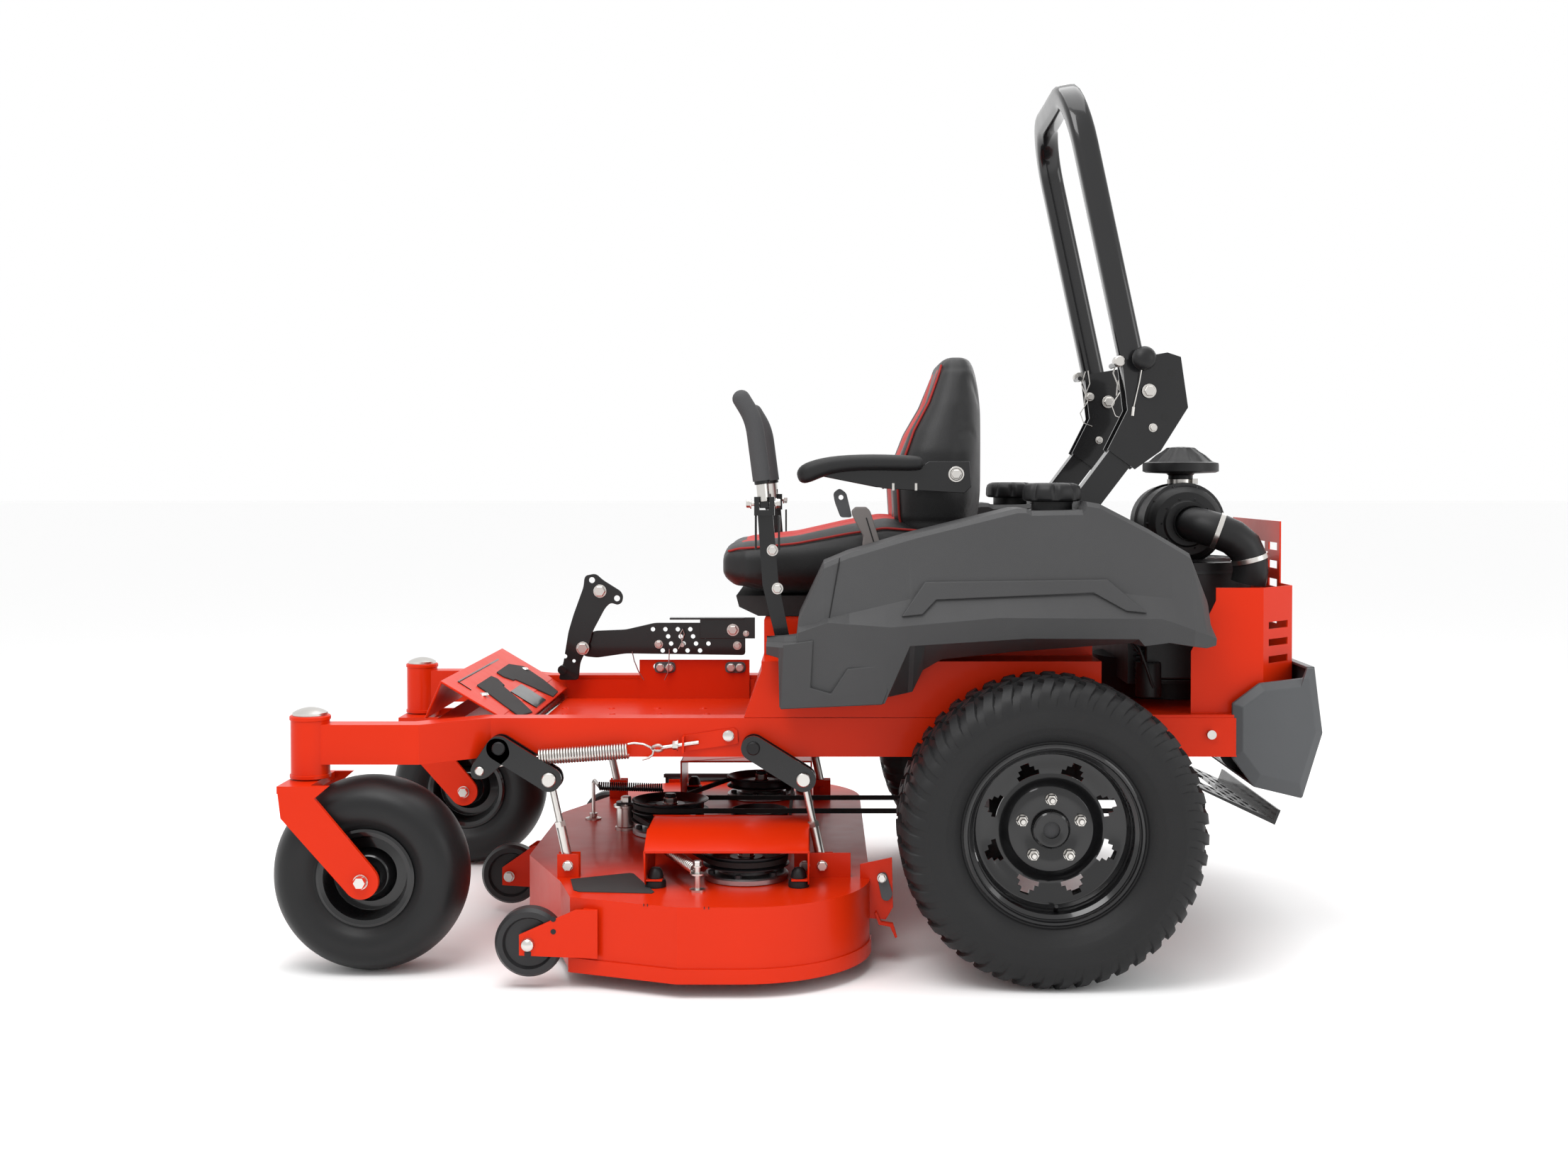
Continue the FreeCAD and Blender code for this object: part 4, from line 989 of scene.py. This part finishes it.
def make_quadrant():
    plate = [(1003, 560), (985, 572), (965, 581), (892, 584), (823, 600), (609, 600), (609, 523),
             (892, 527), (960, 517), (990, 520), (1008, 538)]
    piece = build("height_plate", "frame", LOOKS["black_steel"], [prism(rounded(plate, 8, 3), -322, -317)],
                  bevel=1.0, replaces=("height_quadrant",))
    holes = []
    for start, count, z in ((828, 5, 584.5), (792, 4, 567.5), (785, 4, 550.5), (805, 4, 534)):
        for index in range(count):
            holes.append(hole(start - 29.5 * index, z, 5.2, -330, -310))
    drill(piece, holes)
    upper = [block(586, 716, -316.8, -311, 563, 613), block(611, 787, -322, -300, 608.5, 613)]
    build("height_plate_upper", "frame", LOOKS["black_steel"], upper, bevel=1.0)
    zinc = hex_bolt((814, -317, 549), "+y", 14, 7) + hex_bolt((628, -317, 546), "+y", 14, 7)
    zinc += hex_bolt((638, -311, 583.5), "+y", 20, 9) + hex_bolt((607, -311, 575), "+y", 10, 5)
    zinc.append(tube([(757, -330, 549), (757, -296, 549)], 5, 16))
    zinc.append(tube([(757, -298, 560), (752, -298, 575), (756, -297, 586), (762, -297, 575),
                      (757, -296, 556), (766, -296, 540)], 1.3, 6))
    links = []
    for x0, x1 in ((790, 812), (623, 644)):
        links.append(prism(rounded([(x0 - 14, 505), (x0 - 14, 479), (x1 + 14, 479), (x1 + 14, 505)], 13),
                           -336.8, -333))
        for x in (x0, x1):
            zinc += hex_bolt((x, -333, 492), "+y", 17, 7, 0.8)
    build("height_links", "frame", LOOKS["grey_steel"], links, bevel=0.8)
    build("height_bolts", "frame", LOOKS["zinc"], zinc, bevel=0.4)
    cords = [tube([(877, -315, 532), (872, -314, 510), (862, -314, 485), (850, -318, 464)], 1.4, 6),
             tube([(789, -315, 538), (790, -314, 505), (793, -316, 480), (801, -320, 464)], 1.4, 6)]
    build("pin_lanyards", "frame", LOOKS["cast"], cords, angle=60)


def slope(x):
    """Height of the toe guard's tread face at a place along the machine."""
    return 466 + (x - 1068) * 0.605


def make_toe_pads():
    def on_slope(outline, low, high):
        return loft([[(x, y, slope(x) + low) for x, y in outline],
                     [(x, y, slope(x) + high) for x, y in outline]])

    near = [(1143, 201), (1144, 40), (1132, 28), (1113, 50), (1115, 64), (1072, 102), (1038, 142),
            (1048, 246), (1082, 232), (1117, 211)]
    far = [(1145, -31), (1147, -189), (1125, -263), (1076, -246), (1038, -214), (1036, -130), (1078, -100),
           (1111, -74), (1112, -52), (1130, -28)]
    hood = prism([(1222, 462), (1189, 538), (1068, 466), (1068, 445), (1072, 445), (1072, 463.5),
                  (1187, 532), (1217, 462)],
                 -336, 336)
    build("toe_guard_hood", "frame", LOOKS["red"], [hood], bevel=1.5, replaces=("toe_guard",))
    flap = prism([(1072, 467), (1034, 445), (1034, 442), (1072, 463)], -334, 334)
    build("toe_guard_flap", "frame", LOOKS["red"], [flap], bevel=0.8)
    build("toe_pads", "frame", LOOKS["pad"], [on_slope(near, -1, 2.6), on_slope(far, -1, 2.6)], bevel=0.6)
    plate = [(1096, 72), (1096, -60), (1040, -52), (1040, 76)]
    build("toe_blank_plate", "frame", LOOKS["plate_black_and_painted_shade"], [on_slope(plate, -1, 2.0)], bevel=0.3)
    bolts = []
    for y in (241, -240):
        bolts.append(lathe([(0, 5), (8, 4), (11, 0), (0, 0)], (1121, y, slope(1121)), "z", 20))
    build("toe_guard_bolts", "frame", LOOKS["zinc"], bolts)
    # Dark strip on the tread face: painted shade standing for the gap between hood and tread.
    line = [on_slope([(1170, 262), (1168, 262), (1168, -180), (1170, -180)], -1, 1.2),
            on_slope([(1170, 262), (1142, 266), (1142, 264), (1170, 260)], -1, 1.2)]
    build("toe_guard_gap_painted_shade", "frame", LOOKS["plate_black_and_painted_shade"], line)


# ---- engine
def make_air_cleaner():
    spot = (-347, 40, 0)
    steps = 96
    rings = []
    for level, radius, rib in ((948, 26, 0), (952, 30, 0), (954, 74, 0), (957, 81, 0), (971, 81, 0),
                               (975, 80, 0), (978, 66, 3),
                               (992, 50, 3), (1000, 38, 2), (1008, 30, 0), (1010, 8, 0)):
        ring = []
        for step in range(steps):
            turn = 2 * math.pi * step / steps
            size = radius + rib * (1 if step % 8 < 3 else 0)
            ring.append((spot[0] + size * math.cos(turn), spot[1] + size * math.sin(turn), level))
        rings.append(ring)
    canister = lathe([(0, -110), (70, -110), (76, -104), (80, -100), (80, -40), (84, -38), (84, -30),
                      (80, -28), (80, 80),
                      (86, 84), (86, 96), (80, 100), (76, 112), (66, 122), (50, 124), (46, 130), (0, 130)],
                      (-338, 30, 847), "y")
    neck = lathe([(0, 900), (30, 905), (27, 925), (26, 948), (0, 948)], (-347, 40, 0), "z")
    outlet = lathe([(40, 150), (43, 152), (43, 158), (38, 160), (38, 176)], (-345, 0, 847), "y")
    build("air_cleaner_housing", "frame", LOOKS["black_plastic"], [loft(rings), canister, neck, outlet],
          angle=35, replaces=("air_cleaner",))
    ribs = []
    for index in range(10):
        turn = 2 * math.pi * index / 10
        c, s = math.cos(turn), math.sin(turn)
        ribs.append(tube([(-338 + 52 * c, 154, 847 + 52 * s), (-338 + 82 * c, 130, 847 + 82 * s)], 2.2, 6))
    build("air_cleaner_ribs", "frame", LOOKS["black_plastic"], ribs, angle=50)
    route = [(-345, 158, 847), (-350, 176, 846), (-366, 192, 841), (-392, 200, 833), (-422, 203, 820),
             (-446, 203, 800), (-458, 202, 776), (-460, 201, 750), (-456, 198, 726)]
    build("intake_hose", "frame", LOOKS["black_plastic"],
          [tube(route, [35, 36, 37, 37, 37, 37, 36, 36, 36], 32)], angle=60)
    clamps = []
    for index in (3, 6):
        middle_point = Vector(route[index])
        along = (Vector(route[index + 1]) - Vector(route[index - 1])).normalized()
        clamps.append(tube([middle_point - along * 5, middle_point + along * 5], 38.6, 36))
    clamps.append(lathe([(27.5, 930), (28.6, 930), (28.6, 940), (27.5, 940)], (-347, 40, 0), "z",
                        closed=True))
    clamps.append(block(-378, -366, 60, 72, 930, 941))
    build("hose_clamps", "frame", LOOKS["zinc"], clamps, bevel=0.4)


def make_engine_details():
    fins = []
    for side in (1, -1):
        for index in range(9):
            z = 528 + 12 * index
            fins.append(block(-408, -212, *span(side, 233, 262), z, z + 3.5))
    build("cylinder_fins", "frame", LOOKS["engine"], fins, bevel=0.8)
    cover = [lathe([(0, 778), (44, 778), (52, 774), (60, 768), (120, 766), (160, 762), (174, 752),
                    (177, 742)],
                   (-330, 0, 0), "z", 64)]
    for ring in range(4):
        radius = 70 + 22 * ring
        cover.append(lathe([(radius, 766), (radius + 6, 771), (radius + 10, 766)], (-330, 0, 0), "z", 64))
    build("blower_cover", "frame", LOOKS["engine"], cover, angle=35)
    extras = [lathe([(0, 0), (26, 0), (26, 66), (24, 70), (0, 70)], (-235, 276, 500), "z", 32)]
    build("oil_filter", "frame", LOOKS["black_plastic"], extras, bevel=1.0)
    covers = []
    for side in (1, -1):
        covers.append(prism(rounded([(-392, 535), (-228, 535), (-228, 622), (-392, 622)], 18),
                            *span(side, 262, 284)))
    build("rocker_covers", "frame", LOOKS["engine"], covers, bevel=4.0, segments=3)
    wires = [tube([(-180, 300, 640), (-210, 312, 600), (-225, 310, 560), (-240, 300, 520)], 3.0, 8),
             tube([(-170, 290, 650), (-195, 300, 610), (-215, 306, 585), (-220, 290, 560)], 2.2, 8)]
    build("engine_wires", "frame", LOOKS["black_plastic"], wires, angle=60)


def make_bumper():
    outline = [(-524, 570), (-538, 570), (-555, 442), (-516, 314), (-420, 336), (-377, 393), (-377, 500),
               (-430, 540), (-516, 550)]
    middle_x = sum(x for x, _ in outline) / len(outline)
    middle_z = sum(z for _, z in outline) / len(outline)
    face = [(x + (middle_x - x) * 0.20, z + (middle_z - z) * 0.20) for x, z in outline]
    forms = []
    for side in (1, -1):
        forms.append(loft([[(x, side * 388, z) for x, z in outline],
                           [(x, side * 396, z) for x, z in outline],
                           [(x, side * 407, z) for x, z in face]]))
    band = [(-524, 572), (-540, 572), (-556, 442), (-516, 312), (-420, 335), (-421, 340), (-513, 318),
            (-550, 442), (-535, 566), (-524, 566)]
    forms.append(prism(band, -390, 390))
    build("rear_bumper_shell", "frame", LOOKS["grey_steel"], forms, bevel=2.0, angle=12,
          replaces=("rear_bumper",))


# ---- deck
DECK_TOP = 166.0


def make_spindle(name, x, y, double):
    """Dished pulley, shaft, nut and blade, in place of the plain CAD ones."""
    rim = [(14, 196), (30, 196), (34, 200), (58, 200), (64, 196), (80, 193), (84, 194), (84, 196),
           (74, 199), (74, 213),
           (84, 216), (84, 218), (80, 219), (72, 214), (66, 206), (60, 204), (36, 204), (32, 208),
           (14, 208)]
    forms = [lathe(rim, (x, y, 0), "z", 64, closed=True)]
    top = 210
    if double:
        forms.append(lathe([(r, z + 22) for r, z in rim], (x, y, 0), "z", 64, closed=True))
        top = 232
    forms.append(lathe([(0, 34), (12.4, 34), (12.4, top + 18), (10, top + 20), (0, top + 20)], (x, y, 0),
                       "z", 32))
    build(name + "_pulley", name + "_spindle", LOOKS["pulley"], forms, angle=35,
          replaces=(name + "_spindle",))
    nuts = hex_bolt((x, y, top - 2), "+z", 26, 12, 0.9) + hex_bolt((x, y, 41), "-z", 26, 11, 0.9)
    build(name + "_spindle_nuts", name + "_spindle", LOOKS["zinc"], nuts, bevel=0.6)
    turn = math.radians(35 if y else 90)
    points = []
    blade = [(-226, -12), (-150, -31), (226, -31), (226, 12), (150, 31), (-226, 31)]
    for a, b in blade:
        points.append((x + a * math.cos(turn) - b * math.sin(turn),
                       y + a * math.sin(turn) + b * math.cos(turn)))
    forms = [prism(points, 42, 48, "xy")]
    for way in (1, -1):
        wing = []
        for a, b, lift in ((130, 31, 0), (222, 31, 0), (222, 31, 20), (150, 31, 20)):
            a, b = a * -way, b * way
            wing.append(Vector((x + a * math.cos(turn) - b * math.sin(turn),
                                y + a * math.sin(turn) + b * math.cos(turn), 45 + lift)))
        forms.append(loft([wing, [Vector((p.x - 3 * way * -math.sin(turn), p.y - 3 * way * math.cos(turn),
                p.z)) for p in wing]]))
    build(name + "_blade", name + "_spindle", LOOKS["drive"], forms, bevel=0.8)


def make_spindle_housings():
    forms, bolts = [], []
    for x, y in ((575, 432), (760, 0), (575, -432)):
        forms.append(lathe([(13, 104), (42, 104), (42, 165.5), (80, 166.2), (82, 168), (82, 176), (78, 179),
                            (60, 179), (54, 181), (50, 188), (30, 190), (13, 190)], (x, y, 0), "z", 64))
        for index in range(6):
            turn = math.radians(60 * index + 20)
            bolts += hex_bolt((x + 70 * math.cos(turn), y + 70 * math.sin(turn), 178), "+z", 12, 6, 0.8)
    build("spindle_housing_castings", "deck", LOOKS["cast"], forms, angle=35,
          replaces=("spindle_housings",))
    build("spindle_housing_bolts", "deck", LOOKS["drive"], bolts, bevel=0.4)


def make_deck_cover():
    forms, domes = [], []
    for side in (1, -1):
        top = [(334, 268), (468, 268), (534, 238), (534, 234), (467, 264.6), (334, 264.6)]
        top = [(side * y, z) for y, z in top]
        forms.append(prism(top, 452, 764, "yz"))
        cheek = [(side * y, z) for y, z in ((334, 268), (468, 268), (534, 238), (534, 196), (520, 172),
                (470, 168), (334, 168))]
        for x in (452, 761):
            forms.append(prism(cheek, x, x + 3, "yz"))
        for x0, x1 in ((455, 486), (730, 761)):
            forms.append(block(x0, x1, *span(side, 486, 530), 180, 183))
        for x in (472, 744):
            domes.append(lathe([(0, 203), (8, 202), (13, 196), (15, 186), (15, 183), (0, 183)],
                               (x, side * 508, 0), "z", 24))
            domes.append(lathe([(0, 180), (18, 180), (20, 174), (20, 166.5), (0, 166.5)],
                               (x, side * 508, 0), "z", 24))
    build("belt_covers", "deck", LOOKS["red"], forms, bevel=1.0, replaces=("deck_covers",))
    build("belt_cover_feet", "deck", LOOKS["black_plastic"], domes, angle=40)


def deck_edge(radius_out):
    """The deck's left edge from the rear middle to the front corner, moved out a little."""
    x, y, radius = 575, 432, 240 + radius_out
    path = [(x + radius * math.cos(math.radians(a)),
             y + radius * math.sin(math.radians(a))) for a in range(180, 89, -6)]
    return path + [(690 + 0.2 * radius_out, y + radius), (895 + radius_out, 592 + 0.9 * radius_out)]


def make_deck_details():
    pad = [(914, 452), (896, 540), (884, 554), (746, 567), (742, 556), (797, 405), (806, 400)]
    build("deck_step_pad", "deck", LOOKS["pad"], [prism(pad, DECK_TOP, DECK_TOP + 1.6, "xy")], bevel=0.5)
    outer, inner = deck_edge(3.2), deck_edge(-1.0)
    rings = [[(*out, 27), (*out, 54), (*back, 54), (*back, 27)] for out, back in zip(outer, inner)]
    build("deck_edge_band", "deck", LOOKS["red"], [loft(rings)], angle=25)
    # Near-black slivers on the deck top: painted shade standing for notches in the deck.
    notches = []
    for x, y in ((745, 650), (752, 648), (640, 671), (632, 671)):
        notches.append(block(x, x + 1.4, y - 3, y + 2, DECK_TOP - 3, DECK_TOP + 0.6))
    build("deck_notch_painted_shade", "deck", LOOKS["plate_black_and_painted_shade"], notches)
    chrome, dark, coils, red, zinc, grey = [], [], [], [], [], []
    chrome.append(lathe([(0, DECK_TOP), (24, DECK_TOP), (24, 172), (21, 174), (21, 214), (27, 216),
                         (27, 221), (0, 221)], (861, -36, 0), "z"))
    chrome += hex_bolt((861, -36, 221), "+z", 20, 16, 1.0)
    coils.append(tube(coil((925, -62, 257), (782, -62, 253), 8.5, 30, 10), 1.9, 6))
    chrome.append(tube([(948, -150, DECK_TOP), (948, -150, 250), (944, -140, 256), (925, -66, 257)], 4.2,
                       10))
    chrome.append(lathe([(0, DECK_TOP), (18, DECK_TOP), (18, 169), (9, 172), (9, 180), (0, 180)],
                        (948, -150, 0), "z", 24))
    dark.append(prism(rounded([(882, -20), (882, -52), (740, -70), (700, -52), (704, -34)], 10), 222, 227,
                      "xy"))
    chrome.append(lathe([(0, DECK_TOP), (15, DECK_TOP), (15, 170), (6, 172), (6, 196), (14, 197), (14, 200),
                         (6, 201), (6, 214), (0, 214)], (662, 545, 0), "z", 24))
    chrome += hex_bolt((662, 545, 212), "+z", 15, 9, 0.9)
    coils_near = tube(coil((668, 536, 206), (742, 440, 232), 9.5, 24, 10), 2.0, 6)
    idler = [(6, 208), (18, 208), (22, 203), (52, 203), (58, 208), (70, 210), (73, 213), (73, 216),
             (64, 217), (58, 213), (50, 210), (24, 210), (20, 218), (6, 218)]
    for x, y in ((700, 150),):
        dark.append(lathe([(0, DECK_TOP), (15, DECK_TOP), (15, 200), (0, 200)], (x, y, 0), "z", 24))
        dark.append(lathe(idler, (x, y, 0), "z", 64, closed=True))
        zinc += hex_bolt((x, y, 218), "+z", 18, 12, 0.9)
    plate = [(354, 194), (324, 200), (292, 207), (290, 110), (304, 86), (354, 90)]
    red.append(prism(plate, 438, 443))
    red.append(block(372, 482, 430, 434.2, DECK_TOP - 2, 214))
    red.append(prism([(326, 100), (318, 78), (296, 74), (286, 52), (282, 54), (290, 80), (314, 84),
                      (322, 104)], 440, 452))
    grey.append(prism(rounded([(322, 176), (304, 180), (290, 134), (300, 122), (312, 126)], 8), 443.2,
                      446.5))
    zinc += hex_bolt((312, 446.5, 168), "+y", 14, 6, 0.9)
    zinc.append(lathe([(0, 637), (6, 636), (11, 632), (13, 625), (0, 625)], (968, 0, 86), "y", 32))
    zinc.append(lathe([(0, -637), (6, -636), (11, -632), (13, -625), (0, -625)], (968, 0, 86), "y", 32))
    zinc += hex_bolt((1100, 76, 86), "+y", 18, 7, 0.9)
    # The thin block and two thin discs on the deck's left side are painted shade standing for a slot and
    # holes; they go into the idler arm piece.
    dark += [block(962, 974, 624.5, 625.8, 62, 73)]
    for x, z in ((921, 133), (921, 110)):
        dark.append(lathe([(0, 625.6), (5, 625.6), (5, 624), (0, 624)], (x, 0, z)))
    build("deck_tensioner_posts", "deck", LOOKS["zinc"], chrome, angle=35)
    build("deck_tensioner_spring", "deck", LOOKS["pulley"], coils, angle=60)
    build("deck_near_spring", "deck", LOOKS["zinc"], [coils_near], angle=60)
    build("deck_idler_arm_and_painted_hole_shade", "deck", LOOKS["pulley"], dark, angle=35)
    build("deck_brackets", "deck", LOOKS["red"], red, bevel=0.8)
    build("deck_latch_plate", "deck", LOOKS["grey_steel"], grey, bevel=0.8)
    build("deck_small_bolts", "deck", LOOKS["zinc"], zinc, bevel=0.4)


def make_caster_details(side, name):
    nuts = []
    for way in (1, -1):
        y = side * 470 + way * 92
        nuts += hex_bolt((1291, y, 186.6), "+y" if way > 0 else "-y", 22, 10, 0.9)
    build(name + "_caster_nuts", name + "_caster_fork", LOOKS["zinc"], nuts, bevel=0.6)
    rim = [(22, 34), (24, 42), (38, 44), (44, 40), (52, 24), (70, 22), (78, 44), (80, 60), (88, 62),
           (93, 60), (94, 56)]
    forms = [lathe([(r, a * w) for r, a in rim], (1291, side * 470, 186.6), "y", 64) for w in (1, -1)]
    build(name + "_caster_rim_face", name + "_caster_wheel", LOOKS["rim"], forms, angle=35)
    valve = Vector((1291 + 60 * math.cos(0.9), side * 505, 186.6 + 60 * math.sin(0.9)))
    build(name + "_caster_valve", name + "_caster_wheel", LOOKS["black_plastic"],
          [tube([valve + Vector((0, -12, 0)), valve + Vector((0, 8, 0)), valve + Vector((0, 14, 0))],
                [4, 3.6, 3], 12)])
    ring = [lathe([(36.6, 487.5), (38.6, 486), (38.6, 480), (36.6, 479)], (1410, side * 470, 0), "z", 48),
            lathe([(36.6, 376), (38.6, 375), (38.6, 369), (36.6, 368.2)], (1410, side * 470, 0), "z", 48)]
    build(name + "_caster_tube_rings", "frame", LOOKS["red"], ring, angle=50)


# ---- roll bar
def hoop_path(spread, pivot_x, pivot_z, low, high, lean, bend):
    """The hoop's centre line: up the left leg, over and down the right."""
    path = [(spread, low), (spread, high - bend)]
    for step in range(1, 9):
        turn = math.pi / 2 * step / 8
        path.append((spread - bend + bend * math.cos(turn), high - bend + bend * math.sin(turn)))
    path += [(-y, z) for y, z in reversed(path)]
    result = []
    for y, z in path:
        result.append(Vector((pivot_x + z * math.sin(lean), y, pivot_z + z * math.cos(lean))))
    return result


def make_hoop():
    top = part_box("rops_hoop")[1].z / MM
    lean = math.radians(12.2)
    base_z = 1088.0
    base_x = -232 + 16 + (base_z - 1118) * math.tan(lean)
    length = (top - 6 - base_z) / math.cos(lean) - 25
    path = hoop_path(250, base_x, base_z, 0, length, lean, 125)
    normal = Vector((math.cos(lean), 0, -math.sin(lean)))
    rings = []
    for index, point in enumerate(path):
        before = path[max(0, index - 1)]
        after = path[min(len(path) - 1, index + 1)]
        along = (after - before).normalized()
        side = along.cross(normal).normalized()
        section = rounded([(-25, -25), (25, -25), (25, 25), (-25, 25)], 15, 4)
        rings.append([point + normal * a + side * b for a, b in section])
    build("roll_bar_hoop", "rops_hoop", LOOKS["rim"], [loft(rings)], angle=40, replaces=("rops_hoop",))


def make_roll_bar_details():
    zinc, black, wires, dark = [], [], [], []
    for side in (1, -1):
        face = side * 281.5
        way, back = ("+y", "-y") if side > 0 else ("-y", "+y")
        zinc += hex_bolt((-232, side * 287, 1118), way, 20, 9)
        zinc += hex_bolt((-241, face, 1044), way, 12, 6)
        knob = [(0, 0), (10, 0), (11, 14), (18, 18), (24, 28), (24, 36), (18, 46), (8, 50), (0, 50)]
        black.append(lathe([(r, side * (281.5 + a)) for r, a in knob], (-217, 0, 1182), "y", 32))
        roller = [(0, 262), (11, 262), (11, 290), (9, 292), (0, 292)]
        zinc.append(lathe([(r, side * a) for r, a in roller], (-172, 0, 1178), "y", 24))
        # Dark discs on the plates: painted shade standing for open holes.
        for x, z in ((-278, 1155), (-265, 1066)):
            dark.append(lathe([(0, side * 282.1), (7.5, side * 282.1), (7.5, side * 281), (0, side * 281)],
                              (x, 0, z)))
        wires.append(tube([(-215, side * 296, 1160), (-212, side * 290, 1136), (-206, side * 288, 1108),
                           (-201, side * 288, 1086)],
                          1.1, 6))
        wires.append(tube([(-201, side * 285, 1086), (-199, side * 285, 1068)], 3.4, 8))
        inner = side * 217
        clip = [(-186, inner, 1190), (-190, inner, 1160), (-182, inner, 1140), (-188, inner, 1122),
                (-178, inner, 1112), (-180, inner, 1136), (-171, inner, 1158), (-180, inner, 1188)]
        wires.append(tube(clip, 1.6, 6))
        zinc += hex_bolt((-232, side * 212, 1118), back, 20, 9)
        zinc += hex_bolt((-190, side * 218, 1130), back, 14, 7)
        zinc += hex_bolt((-212, side * 218, 1030), back, 12, 6)
        wires.append(tube([(-186, inner, 1120), (-168, inner, 1092), (-176, inner, 1070),
                           (-196, inner, 1062)], 1.1, 6))
    build("roll_bar_hole_painted_shade", "frame", LOOKS["plate_black_and_painted_shade"], dark)
    build("roll_bar_knobs", "frame", LOOKS["black_plastic"], black, angle=40)
    build("roll_bar_bolts", "frame", LOOKS["zinc"], zinc, bevel=0.4)
    build("roll_bar_pins", "frame", LOOKS["zinc"], wires, angle=60)


set_stage()
dress_cad_nodes()
for side, name in ((1, "left"), (-1, "right")):
    make_fender(side, name)
    make_fuel_cap(side, name)
    make_armrest(side, name)
    make_lap_bar(side, name)
    make_lever_details(side, name)
make_seat_cushion()
make_seat_back()
make_brake_lever()
make_belt_buckle()
make_springs()
make_lift_details()
make_pedal()
make_quadrant()
make_toe_pads()
make_air_cleaner()
make_engine_details()
make_bumper()
for name, x, y in (("left", 575, 432), ("centre", 760, 0), ("right", 575, -432)):
    make_spindle(name, x, y, name == "centre")
make_spindle_housings()
make_deck_cover()
make_deck_details()
make_hoop()
make_roll_bar_details()
for side, name in ((1, "left"), (-1, "right")):
    make_rear_tyre(side, name)
    make_caster_tyre(side, name)
    make_caster_details(side, name)
    make_rear_rim(side, name)
